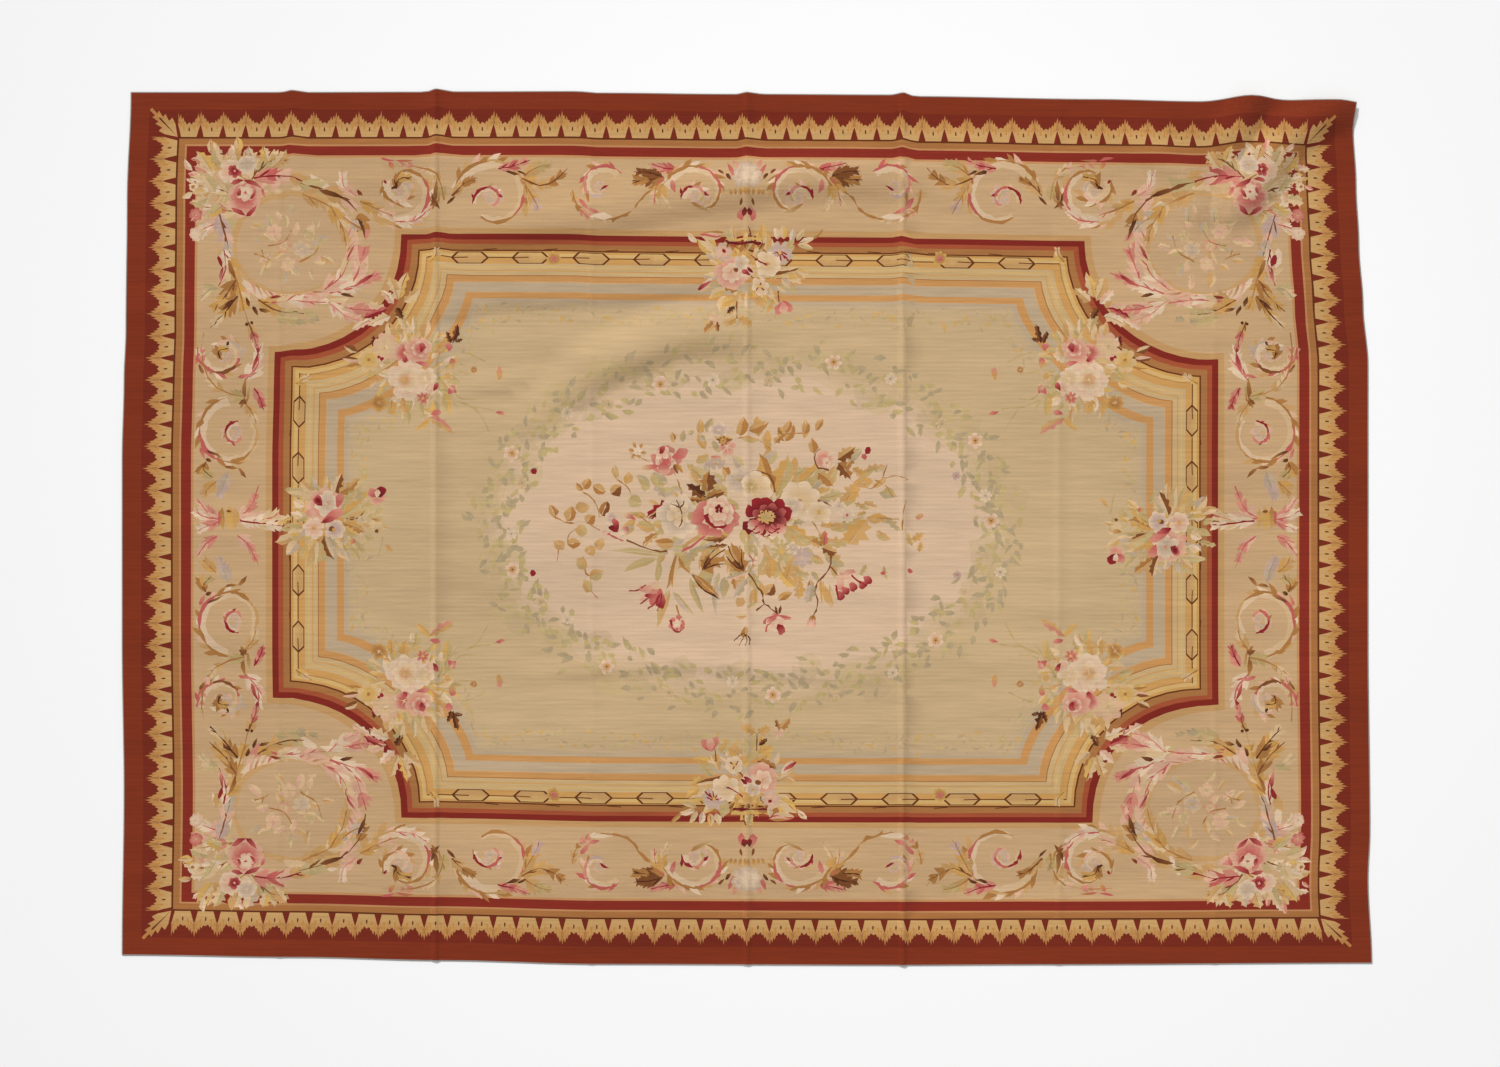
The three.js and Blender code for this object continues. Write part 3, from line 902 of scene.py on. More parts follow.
def hanging_rose():
    """The small rose that hangs at the bottom."""
    whorl(777, 623, 11, 6, 0.7, BLUSH, IVORY, 0.3, 0.2, 0.8)
    for u, v in ((767, 622), (790, 619), (772, 616)):
        petal(seen(778, 615), seen(u, v), 5 * PIXEL, ROSE, PINK)
    thread((764, 624, 768, 618, 778, 616, 791, 618), 2.2, ROSE, 8)
    petals([(778, 624, 783, 634, 9, CRIMSON, ROSE)])
    thread((766, 632, 767, 626, 771, 623), 1.8, ROSE, 5)
    leaves(((778, 614, 775, 606, 3, DARK_BROWN, BROWN), (779, 614, 781, 605, 3, DARK_BROWN, BROWN)))


def seed_pods():
    """Seed pods, loose leaves and the brown tassel."""
    spot(741, 602, 5.5, GOLD_TAN)
    leaves(((747, 609, 757, 603, 6, PALE_OLIVE, CREAM), (747, 615, 735, 616, 6, GOLD_TAN, CREAM),
            (766, 595, 774, 584, 13, GOLD_TAN, BROWN), (778, 600, 793, 592, 8, GOLD, GOLD_BROWN),
            (746, 626, 744, 640, 7, GOLD_TAN, GOLD_BROWN)))
    stems(((745, 633, 739, 636, 734, 641), (745, 634, 742, 640, 739, 645), (746, 634, 750, 639, 749, 645),
           (745, 634, 747, 640, 745, 646)), DARK_BROWN, 1.1)


def daisies():
    """Daisies and the pink bud at the right."""
    whorl(818, 513, 13, 7, 0.7, CREAM, IVORY, 0.2, 0.1)
    spot(819, 512, 2.6, YELLOW)
    daisy(seen(839, 506), 7 * PIXEL, IVORY, LILAC)
    daisy(seen(847, 515), 8 * PIXEL, IVORY, ROSE)
    whorl(824, 460, 10, 6, 0.7, PINK, BLUSH, 0.2, 0.2)
    whorl(827, 463, 6, 5, 0.7, IVORY, BLUSH, 0.2, 0.2)
    thread((829, 470, 817, 467, 815, 455, 820, 449), 1.4, BROWN, 7)
    for x, y, r in ((868, 450, 4), (864, 457, 3), (534, 471, 3.4), (533, 573, 3.4), (883, 573, 2.5),
                    (910, 571, 3)):
        blot(seen(x, y), r * PIXEL, CRIMSON if r > 3 else ROSE, 6)
    for x, y in ((956, 476), (957, 575)):
        daisy(seen(x, y), 4.5 * PIXEL, LILAC, ROSE)


def bouquet_flowers():
    white_flower()
    pale_flowers()
    lilac_flower()
    upper_rose()
    red_bud()
    pink_rose()
    peony(seen(*PEONY))
    left_tulip()
    curled_leaves()
    small_flowers()
    right_tulip()
    hanging_rose()
    seed_pods()
    daisies()


# The motifs of the end spray, in pixels along the frame and in from it.
END_LEAVES = (
    (-50, 4, -66, 8, 6, CREAM, PALE_OLIVE), (-52, 2, -68, -3, 6, IVORY, CREAM),
    (-50, 0, -58, -12, 6, CREAM, PALE_OLIVE), (-44, 0, -47, -13, 7, IVORY, SILVER),
    (-37, -2, -36, -16, 8, CREAM, YELLOW), (-31, -2, -28, -14, 7, IVORY, CREAM),
    (-66, -2, -76, -12, 5, GOLD_TAN, GOLD_BROWN), (34, 12, 50, -2, 11, YELLOW, CREAM),
    (30, 8, 44, -8, 9, CREAM, YELLOW), (50, 2, 60, -8, 6, IVORY, CREAM), (26, -4, 48, -6, 8, CREAM, ROSE),
    (22, -8, 44, -8, 5, BLUSH, GOLD_BROWN), (-22, 34, -52, 27, 6, CREAM, BROWN),
    (-30, 44, -40, 50, 7, PALE_OLIVE, CREAM),
)
END_TORN_LEAVES = (
    (-8, 56, -18, 66, 13, GOLD, GOLD_TAN), (9, 78, -6, 86, 10, GOLD, GOLD_TAN),
    (11, 78, 23, 85, 10, GOLD, GOLD_TAN), (12, 66, 20, 73, 6, BROWN, DARK_BROWN),
    (10, 50, 30, 42, 10, GOLD_BROWN, BROWN), (12, 58, 26, 64, 11, GOLD, YELLOW),
    (32, 80, 43, 93, 10, GOLD_TAN, GOLD_BROWN), (32, 80, 29, 92, 6, BROWN, GOLD_BROWN),
    (-26, 58, -18, 74, 9, GOLD, PALE_OLIVE), (-34, 56, -26, 50, 8, GOLD_TAN, GOLD),
)
END_STEMS = (
    (10, 60, 10, 78), (-31, 50, -32, 62), (-12, 42, -5, 36, -2, 28), (-24, 34, -32, 31, -44, 30),
)
END_FLOWERS = (
    (-33, 13, 13, 9, 0.5, LILAC, SILVER), (-21, 23, 14, 7, 0.75, CREAM, IVORY),
    (-13, 46, 9, 6, 0.8, CREAM, IVORY), (15, 32, 17, 7, 0.8, PINK, BLUSH),
    (16, 32, 10, 6, 0.8, BLUSH, IVORY), (2, 30, 9, 6, 0.7, IVORY, BLUSH),
    (2, 17, 9, 6, 0.7, GOLD, GOLD_TAN), (24, 11, 10, 7, 0.7, BLUSH, SILVER),
    (6, 22, 8, 6, 0.8, SILVER, IVORY), (31, 78, 7, 5, 0.6, BLUSH, CREAM),
)
END_THREADS = (
    (-42, 20, -36, 14, -28, 11), (-40, 14, -34, 11, -30, 16), (-38, 18, -33, 10),
    (-34, 20, -32, 12, -25, 13), (-20, 24, -12, 20, -4, 14), (-17, 49, -12, 46, -9, 50), (-14, 42, -12, 46),
)
END_PETALS = (
    (-3, 34, 5, 29, 5, CRIMSON, ROSE), (-6, 32, 0, 27, 4, DEEP_CRIMSON, CRIMSON),
    (-36, 60, -45, 71, 8, ROSE, PINK), (-36, 60, -30, 74, 8, ROSE, PINK),
    (-36, 60, -37, 72, 9, PINK, BLUSH), (34, 37, 46, 50, 8, IVORY, BLUSH),
    (36, 40, 49, 49, 4, ROSE, CRIMSON),
)
END_SEEDS = (
    (11, 29, 3, BROWN), (23, 10, 2, CRIMSON), (-13, 46, 2, YELLOW), (-33, 12, 2, YELLOW),
)
BASKET_LEAVES = (
    (-18, 2, -12, 9, 4, GOLD_BROWN, BROWN), (-9, 2, -7, 8, 5, GOLD, GOLD_BROWN),
    (0, 2, 1, 8, 5, GOLD_BROWN, BROWN), (8, 2, 9, 8, 5, GOLD, GOLD_BROWN),
    (17, 2, 20, 7, 4, GOLD_BROWN, BROWN),
)


def end_spray(at):
    """The spray on the frame's near side, and again, turned half round, on its far side."""
    foliage((-4, 30), (44, 34), 60, 15,
            ((YELLOW, CREAM), (CREAM, GOLD_TAN), (PALE_OLIVE, OLIVE), (GOLD, YELLOW), (SILVER, CREAM)), at)
    leaves(END_LEAVES, at=at)
    leaves(END_TORN_LEAVES, torn=True, at=at)
    stems(END_STEMS, BROWN, 1.5, at)
    rings(END_FLOWERS, at)
    stems(END_THREADS, CRIMSON, 1.5, at)
    petals(END_PETALS, at)
    blots(END_SEEDS, at)
    # the basket's rim, on the frame
    leaves(BASKET_LEAVES, at=at)
    stems(((-14, 2, 3, 2, 20, 2),), DEEP_CRIMSON, 3, at)
    stems(((-16, -2, 3, -2, 21, -2),), YELLOW, 3, at)
    stems(((-3, -4, -3, -10, -1, -14),), BROWN, 2, at)


# The motifs of the side spray, in pixels in from the frame and up.
SIDE_LEAVES = (
    (38, 33, 14, 35, 9, CREAM, PALE_OLIVE), (38, 36, 28, 45, 9, CREAM, GOLD_TAN),
    (32, 22, 20, 26, 9, IVORY, CREAM), (42, 38, 40, 50, 8, PALE_OLIVE, SILVER),
    (30, 10, 18, 14, 9, CREAM, IVORY), (28, -6, 14, -8, 9, YELLOW, CREAM),
    (20, -11, 2, -15, 10, GOLD_TAN, CREAM), (24, -14, 14, -28, 12, SILVER, CREAM),
    (42, -16, 34, -41, 8, OLIVE, GOLD_TAN), (46, -14, 44, -38, 7, PALE_OLIVE, CREAM),
    (34, -16, 28, -34, 8, YELLOW, OLIVE), (112, -17, 120, -26, 4, GOLD_TAN, GOLD),
    (96, 2, 110, 0, 9, CREAM, PALE_OLIVE), (106, 0, 116, -2, 5, GOLD, CREAM),
    (92, -8, 102, -14, 6, PALE_OLIVE, OLIVE),
)
SIDE_TORN_LEAVES = (
    (62, 31, 69, 54, 11, CREAM, BROWN), (67, 34, 87, 49, 11, GOLD_TAN, GOLD_BROWN),
    (66, 10, 88, 26, 15, GOLD, PALE_OLIVE), (73, 8, 92, 17, 8, GOLD_TAN, BROWN),
    (70, 4, 92, -4, 15, GOLD, GOLD_BROWN), (70, 0, 84, -10, 10, YELLOW, OLIVE),
    (51, -9, 61, -33, 11, CREAM, BROWN), (56, -10, 66, -26, 8, PALE_OLIVE, SILVER),
)
SIDE_STEMS = (
    (66, 30, 84, 28, 100, 30), (110, -10, 106, -30), (72, 9, 82, 9, 92, 17), (30, -12, 40, -11, 50, -10),
)
SIDE_FLOWERS = (
    (52, 22, 18, 8, 0.62, PINK, BLUSH), (54, 23, 13, 6, 0.8, SILVER, IVORY),
    (41, -1, 11, 7, 0.75, BLUSH, IVORY), (62, -2, 11, 7, 0.75, LILAC, IVORY),
    (104, 30, 9, 6, 0.75, PINK, BLUSH), (103, 3, 9, 6, 0.7, CREAM, PALE_OLIVE),
)
SIDE_PETALS = (
    (50, 22, 42, 30, 9, CRIMSON, ROSE), (47, 24, 43, 29, 5, DEEP_CRIMSON, CRIMSON),
    (64, 20, 69, 34, 8, ROSE, PINK), (50, 6, 69, 16, 9, ROSE, PINK), (48, 4, 62, 9, 6, CRIMSON, ROSE),
    (44, 14, 33, 14, 8, BLUSH, PINK), (103, 30, 97, 38, 9, ROSE, PINK),
    (104, 30, 111, 40, 9, DEEP_CRIMSON, CRIMSON), (104, 30, 105, 37, 6, IVORY, BLUSH),
    (76, -13, 82, -15, 6, YELLOW, ROSE), (98, 8, 108, 7, 4, GOLD_BROWN, GOLD_TAN),
)
SIDE_SEEDS = (
    (59, -2, 3, BROWN), (61, -3, 2, GOLD), (41, -1, 2.2, GOLD), (104, -4, 2, BROWN),
)


def side_spray(at):
    """The spray on each of the frame's short sides."""
    foliage((60, 8), (44, 34), 60, 15,
            ((PALE_OLIVE, OLIVE), (CREAM, GOLD_TAN), (YELLOW, CREAM), (OLIVE, PALE_OLIVE), (SILVER, CREAM)),
            at)
    leaves(SIDE_LEAVES, at=at)
    leaves(SIDE_TORN_LEAVES, torn=True, at=at)
    stems(SIDE_STEMS, OLIVE, 1.4, at)
    rings(SIDE_FLOWERS, at)
    petals(SIDE_PETALS, at)
    blots(SIDE_SEEDS, at)


# The motifs of the corner spray, in the photograph's pixels at its far left corner.
CORNER_LEAVES = (
    (392, 338, 388, 322, 12, CREAM, GOLD_TAN), (403, 336, 406, 319, 14, GOLD_TAN, CREAM),
    (414, 334, 414, 316, 7, IVORY, OLIVE), (424, 338, 428, 320, 11, GOLD_TAN, CREAM),
    (432, 344, 438, 330, 7, PALE_OLIVE, CREAM), (358, 352, 344, 346, 7, CREAM, BROWN),
    (360, 360, 342, 358, 6, BLUSH, BROWN), (362, 366, 346, 368, 6, YELLOW, GOLD_BROWN),
    (445, 392, 449, 416, 9, YELLOW, OLIVE), (431, 417, 416, 431, 6, YELLOW, GOLD),
    (376, 372, 366, 378, 6, YELLOW, OLIVE),
)
CORNER_TORN_LEAVES = (
    (398, 300, 389, 276, 14, CREAM, GOLD_TAN), (400, 298, 408, 272, 12, CREAM, YELLOW),
    (394, 304, 380, 290, 10, BLUSH, IVORY), (390, 316, 368, 326, 13, IVORY, CREAM),
    (386, 309, 366, 304, 10, BLUSH, CREAM), (404, 302, 421, 288, 12, GOLD_TAN, CREAM),
    (398, 312, 405, 332, 11, OLIVE, CREAM),
)
CORNER_DARK_LEAVES = (
    (364, 318, 388, 308, 8, ROSE, CRIMSON), (352, 330, 372, 318, 8, IVORY, BLUSH),
    (396, 308, 403, 320, 8, DARK_BROWN, BROWN), (374, 336, 373, 347, 5, CRIMSON, DARK_BROWN),
    (392, 400, 392, 416, 10, GOLD, GOLD_TAN), (402, 398, 407, 415, 12, GOLD, GOLD_TAN),
    (453, 343, 458, 323, 8, BROWN, DARK_BROWN), (451, 343, 447, 331, 6, BROWN, DARK_BROWN),
    (455, 341, 463, 339, 5, BROWN, DARK_BROWN), (430, 418, 455, 434, 10, PINK, GOLD_TAN),
    (438, 376, 444, 388, 6, OLIVE, PALE_OLIVE),
)
CORNER_STEMS = (
    (449, 395, 459, 410), (456, 395, 463, 399, 476, 399), (454, 400, 476, 410, 489, 431),
    (470, 407, 489, 409, 498, 412), (432, 352, 441, 349, 448, 348), (368, 370, 378, 372, 388, 375),
    (374, 371, 381, 380), (440, 356, 444, 364, 450, 366), (462, 352, 474, 356, 486, 362),
    (458, 372, 474, 374),
)
CORNER_FLOWERS = (
    (386, 347, 14, 7, 0.75, CREAM, BLUSH), (369, 360, 12, 7, 0.7, YELLOW, CREAM),
    (407, 380, 21, 8, 0.72, BLUSH, IVORY), (407, 380, 14, 7, 0.75, CREAM, IVORY),
    (405, 380, 7, 6, 0.7, GOLD_TAN, BLUSH), (425, 379, 11, 6, 0.8, CREAM, IVORY),
    (405, 353, 11, 6, 0.75, ROSE, BLUSH), (418, 351, 14, 7, 0.75, PINK, BLUSH),
    (420, 349, 8, 6, 0.8, ROSE, IVORY), (431, 388, 7, 5, 0.8, BLUSH, IVORY),
    (379, 403, 9, 7, 0.6, GOLD_BROWN, GOLD), (423, 398, 6.5, 7, 0.5, ROSE, PINK),
    (474, 370, 5, 7, 0.6, GOLD_BROWN, CREAM), (448, 376, 5, 7, 0.6, GOLD, CREAM),
)
CORNER_PETALS = (
    (421, 352, 423, 343, 8, CRIMSON, ROSE), (420, 350, 416, 345, 5, ROSE, PINK),
    (416, 362, 429, 365, 5, ROSE, PINK), (402, 356, 407, 362, 5, ROSE, CRIMSON),
    (434, 391, 438, 383, 5, CRIMSON, ROSE), (449, 351, 449, 343, 8, ROSE, PINK),
    (453, 369, 452, 358, 7, GOLD_TAN, ROSE), (499, 380, 500, 367, 6, GOLD, PINK),
    (496, 412, 505, 414, 4, ROSE, PINK), (448, 394, 455, 386, 7, ROSE, PINK),
    (450, 386, 456, 393, 4, BLUSH, ROSE), (431, 414, 441, 412, 6, ROSE, PINK),
)
CORNER_SEEDS = (
    (382, 359, 2.4, CRIMSON), (379, 357, 1.6, CRIMSON), (423, 398, 1.6, YELLOW), (369, 360, 2, GOLD_BROWN),
)


def corner_spray(at):
    """The spray over the frame's cut corner, as at the far left."""
    foliage((412, 372), (38, 40), 70, 14,
            ((CREAM, GOLD_TAN), (PALE_OLIVE, YELLOW), (YELLOW, CREAM), (IVORY, CREAM), (OLIVE, PALE_OLIVE)),
            at)
    leaves(CORNER_LEAVES, at=at)
    leaves(CORNER_TORN_LEAVES, torn=True, at=at)
    leaves(CORNER_DARK_LEAVES, torn=True, at=at)
    stems(CORNER_STEMS, OLIVE, 1.3, at)
    rings(CORNER_FLOWERS, at)
    petals(CORNER_PETALS, at)
    blots(CORNER_SEEDS, at)


DESIGN_MIDDLE = (747, 527)


def turned_about(x, y):
    """The place opposite the one seen at these pixels, through the design's middle."""
    return seen(2 * DESIGN_MIDDLE[0] - x, 2 * DESIGN_MIDDLE[1] - y)


def mirrored_across(x, y):
    return seen(2 * DESIGN_MIDDLE[0] - x, y)


def mirrored_up(x, y):
    return seen(x, 2 * DESIGN_MIDDLE[1] - y)


FOUR_CORNERS = (seen, mirrored_across, mirrored_up, turned_about)


STROKE = np.array([0, 0.22 + 0.4j, 0.6 + 0.46j, 1.0])


def stroke(foot, tip, width, colour, to=None, bend=0.0):
    """A slender stroke with a point at each end, like the lobes of an acanthus leaf."""
    way = tip - foot
    half = STROKE.real + 1j * STROKE.imag * width / abs(way)
    outline = np.concatenate([half, half.conj()[-2:0:-1]])
    outline = outline + 2j * bend * outline.real * (1 - outline.real)
    cartoon.weave(foot + way * outline, vary(colour), vary(colour if to is None else to), foot, way)


def strokes(rows, at=seen):
    for x0, y0, x1, y1, width, colour, to in rows:
        stroke(at(x0, y0), at(x1, y1), width * PIXEL, colour, to, rng.uniform(-0.15, 0.15))


def frond(points, width, tints, vein, count=9, at=seen):
    """A curling acanthus leaf: pointed lobes on both sides of a rib, tinted from its foot to its tip."""
    line = curve(pairs(points, at), 12)
    for k in range(count):
        share = k / (count - 1)
        t = round(9 * share)
        ahead = line[t + 2] - line[t]
        ahead /= abs(ahead)
        tint = tints[int(share * (len(tints) - 0.01))]
        reach = width * PIXEL * (1.45 - 0.55 * share) * rng.uniform(0.8, 1.2)
        for side in (-1, 1):
            way = ahead * np.exp(1j * side * rng.uniform(0.35, 0.65)) * reach
            shade = 0.92 if side < 0 else 1.03
            stroke(line[t], line[t] + way, reach * 0.46, tint * shade,
                   tint * shade * rng.uniform(0.96, 1.06), -0.2 * side)
        if k % 3 == 1:
            way = ahead * np.exp(1j * rng.uniform(-0.5, 0.5)) * reach * 0.8
            stroke(line[t], line[t] + way, reach * 0.13, vein)
    cartoon.weave(strip(line[::2], np.linspace(4.5, 1.6, 7)), vary(vein))


def fronds(rows, at=seen):
    for points, width, tints, vein in rows:
        frond(points, width, tints, vein, 8, at)


def scroll(middle, outer, inner, start, sweep, width, lines, at=seen, lobes=13):
    """A band that winds in to a small flower, with a coloured line along it and lobes on its outer edge."""
    share = np.linspace(0, 1, 22)
    turn = start + sweep * share
    reach = outer + (inner - outer) * share**0.9
    line = np.array([at(*on_oval(middle, (r, r), a)) for r, a in zip(reach, turn)])
    heart = at(*middle)
    outwards = (line - heart) / np.abs(line - heart)
    ahead = np.gradient(line)
    ahead = ahead / np.abs(ahead)
    wide = width * PIXEL * np.linspace(1.2, 0.5, 22)
    cartoon.weave(strip(line - outwards * wide / 3, wide), IVORY, CREAM, heart - outer * 3, 6 * outer,
                  cover=0.75)
    for k in range(lobes):
        t = 1 + round(13 * k / lobes)
        way = (ahead[t] + outwards[t] * rng.uniform(0.1, 0.5)) * width * rng.uniform(1.3, 2.0) * PIXEL
        tint = (lines[0], GOLD_TAN, BLUSH, GOLD_BROWN, IVORY)[k % 5]
        stroke(line[t] - outwards[t] * 4, line[t] + way, abs(way) * 0.36, tint, tint * 1.06)
    third = len(line) // len(lines)
    for k, colour in enumerate(lines):
        part = line[k * third:k * third + third + 2]
        cartoon.weave(strip(part, np.interp(np.linspace(0, 1, len(part)), [0, 0.5, 1], [4, 11, 4.5])),
                      vary(colour))
    ring(heart, min(inner, 14) * 0.8 * PIXEL, 7, 0.6, SILVER, BLUSH, rng.uniform(0, 1), 0.3)


def knot(x, y, at=seen):
    """The brown knot that ties two scrolls, with its short stems."""
    strokes(((x, y, x + 2, y - 25, 5, BROWN, GOLD_BROWN), (x - 1, y, x - 4, y - 12, 3, DARK_BROWN, BROWN),
             (x + 4, y, x + 6, y - 18, 3, GOLD_BROWN, OLIVE),
             (x - 5, y + 2, x + 5, y - 3, 5, BROWN, GOLD_BROWN),
             (x - 4, y - 4, x + 5, y + 5, 4, BROWN, BROWN),
             (x - 3, y + 6, x + 2, y - 2, 3, GOLD_BROWN, BROWN)), at)


# What grows round each scroll, from the corner to the middle of the far end.
FIRST_SCROLL_FRONDS = (
    ((396, 189, 399, 180, 412, 177), 9, (GOLD_BROWN, GOLD), DARK_BROWN),
    ((360, 201, 378, 210, 398, 217), 9, (GOLD, GOLD_TAN, BLUSH), GOLD_BROWN),
    ((395, 222, 415, 220, 431, 208), 9, (IVORY, BLUSH, IVORY), ROSE),
    ((444, 200, 440, 180, 428, 169, 406, 165, 382, 166), 8,
     (OLIVE, GOLD_TAN, CREAM, BLUSH, PINK), GOLD_BROWN),
)
FIRST_SCROLL_STROKES = (
    (380, 158, 396, 161, 3, ROSE, ROSE), (396, 161, 414, 160, 3, ROSE, GOLD_BROWN),
    (389, 162, 394, 170, 5, ROSE, GOLD), (391, 189, 398, 186, 3, DARK_BROWN, DARK_BROWN),
    (384, 180, 387, 184, 3, CRIMSON, CRIMSON),
)
SECOND_SCROLL_FRONDS = (
    ((452, 196, 464, 184, 478, 178), 8, (GOLD_TAN, GOLD_BROWN), BROWN),
    ((498, 169, 514, 166, 530, 160), 8, (PINK, ROSE, PINK), CRIMSON),
    ((522, 178, 540, 186, 556, 180, 568, 168), 10, (GOLD, GOLD_TAN, GOLD_BROWN), BROWN),
    ((524, 176, 536, 168, 552, 164), 10, (GOLD_TAN, OLIVE), GOLD_BROWN),
    ((524, 182, 533, 198, 542, 214), 9, (GOLD_TAN, GOLD, LILAC), GOLD_BROWN),
)
SECOND_SCROLL_STROKES = (
    (506, 171, 520, 175, 4, DARK_BROWN, BROWN), (517, 171, 527, 176, 3, DARK_BROWN, BROWN),
    (447, 205, 456, 196, 3, BROWN, DARK_BROWN),
)
VINE_STROKES = (
    (600, 191, 609, 186, 3, CRIMSON, CRIMSON), (580, 199, 590, 211, 5, ROSE, PINK),
    (588, 210, 600, 214, 5, PINK, ROSE), (590, 218, 614, 217, 6, IVORY, IVORY),
)
VINE_FRONDS = (
    ((664, 178, 650, 180, 632, 181), 11, (BROWN, BROWN, GOLD_BROWN), DARK_BROWN),
    ((662, 177, 650, 173, 634, 172), 9, (BROWN, BROWN), DARK_BROWN),
    ((676, 170, 664, 168, 648, 164), 7, (ROSE, PINK), CRIMSON),
    ((664, 178, 656, 190, 654, 206), 9, (GOLD_BROWN, GOLD, CREAM), ROSE),
    ((664, 182, 662, 198, 672, 213), 8, (GOLD, CREAM), GOLD_TAN),
)
LAST_SCROLL_STROKES = (
    (672, 180, 675, 194, 6, PINK, ROSE), (690, 203, 712, 214, 4, GOLD_BROWN, OLIVE),
    (718, 170, 724, 175, 3, BROWN, BROWN), (726, 174, 731, 181, 4, DARK_BROWN, BROWN),
    (728, 164, 739, 183, 5, ROSE, PINK), (732, 160, 741, 172, 5, PINK, BLUSH),
)
LAST_FLOWER_STROKES = (
    (730, 190, 732, 196, 4, GOLD, GOLD_BROWN), (735, 189, 736, 196, 4, GOLD, GOLD_BROWN),
    (740, 188, 741, 196, 4, GOLD, GOLD_BROWN), (745, 188, 746, 196, 4, GOLD, GOLD_BROWN),
    (741, 221, 743, 206, 9, ROSE, PINK), (744, 216, 745, 207, 6, CRIMSON, DARK_BROWN),
    (740, 206, 742, 198, 3, BROWN, BROWN),
)


def end_scrolls(at):
    """A quarter of the border's scrolls, from the corner to the middle of the design's far end."""
    scroll((403, 190), 40, 17, 2.75, -4.6, 9, (GOLD_TAN, ROSE, GOLD_BROWN), at, 12)
    scroll((400, 189), 19, 6, 3.6, -4.9, 8, (GOLD_BROWN, BLUSH, SILVER), at, 7)
    fronds(FIRST_SCROLL_FRONDS, at)
    strokes(FIRST_SCROLL_STROKES, at)
    knot(435, 204, at)
    scroll((494, 196), 40, 25, 3.3, 5.1, 9, (GOLD_BROWN, GOLD_TAN, ROSE, GOLD_BROWN), at, 12)
    scroll((490, 200), 17, 6, 2.9, 4.6, 4, (CRIMSON, ROSE, PINK), at, 6)
    fronds(SECOND_SCROLL_FRONDS, at)
    strokes(SECOND_SCROLL_STROKES, at)
    scroll((600, 187), 25, 8, -0.6, -4.6, 7, (ROSE, PINK, LILAC), at, 9)
    fronds((((573, 190, 576, 206, 590, 218, 609, 221, 631, 213), 6,
             (GOLD_TAN, GOLD_BROWN, PINK, IVORY, CREAM), GOLD_BROWN),), at)
    strokes(VINE_STROKES, at)
    stems(((612, 221, 631, 213, 642, 199, 660, 184),), GOLD_BROWN, 2.6, at)
    fronds(VINE_FRONDS, at)
    scroll((699, 196), 37, 15, 3.4, 4.0, 8, (GOLD_BROWN, ROSE, GOLD_BROWN), at, 12)
    scroll((696, 198), 15, 5, 3.0, 4.2, 6, (CRIMSON, PINK, OLIVE), at, 6)
    strokes(LAST_SCROLL_STROKES, at)
    ring(at(744, 175), 13 * PIXEL, 8, 0.55, IVORY, SILVER, 0.2, 0.2)
    strokes(LAST_FLOWER_STROKES, at)


# And round those from the corner to the middle of the short side.
UPPER_SCROLL_FRONDS = (
    ((220, 358, 219, 351, 229, 349), 8, (GOLD_BROWN, GOLD), DARK_BROWN),
    ((246, 380, 258, 364, 258, 340), 11, (IVORY, BLUSH, IVORY), ROSE),
    ((254, 388, 260, 398, 264, 410), 7, (PINK, ROSE), CRIMSON),
)
UPPER_SCROLL_STROKES = (
    (252, 372, 258, 352, 4, ROSE, CRIMSON), (258, 354, 255, 338, 4, CRIMSON, ROSE),
    (238, 378, 254, 374, 4, ROSE, PINK), (227, 346, 229, 341, 3, DARK_BROWN, DARK_BROWN),
    (199, 364, 206, 376, 3, BROWN, GOLD_BROWN), (206, 376, 223, 391, 3, GOLD_BROWN, DARK_BROWN),
)
LOWER_SCROLL_FRONDS = (
    ((245, 397, 223, 391, 208, 378, 202, 354, 204, 333), 8,
     (OLIVE, GOLD_TAN, CREAM, BLUSH, PINK), GOLD_BROWN),
    ((246, 404, 253, 414, 256, 424), 8, (GOLD_TAN, CREAM), GOLD_BROWN),
    ((206, 462, 204, 470, 212, 477), 9, (GOLD_BROWN, GOLD, OLIVE), BROWN),
    ((228, 472, 224, 484, 218, 500), 10, (SILVER, LILAC), GREY_OLIVE),
    ((216, 482, 210, 487, 204, 494), 9, (GOLD, GOLD_TAN), GOLD_BROWN),
)
LOWER_SCROLL_STROKES = (
    (225, 467, 238, 469, 4, BROWN, GOLD_BROWN), (237, 468, 247, 478, 4, GOLD_BROWN, BROWN),
    (200, 448, 205, 460, 4, ROSE, PINK), (206, 451, 224, 459, 3, DARK_BROWN, GOLD_BROWN),
    (206, 459, 212, 462, 4, DARK_BROWN, BROWN),
)
LOWER_SCROLL_TIPS = (
    ((238, 518, 250, 508, 259, 486), 9, (BLUSH, PINK, PINK), ROSE),
    ((217, 518, 206, 510, 197, 498), 8, (PINK, BLUSH), ROSE),
)


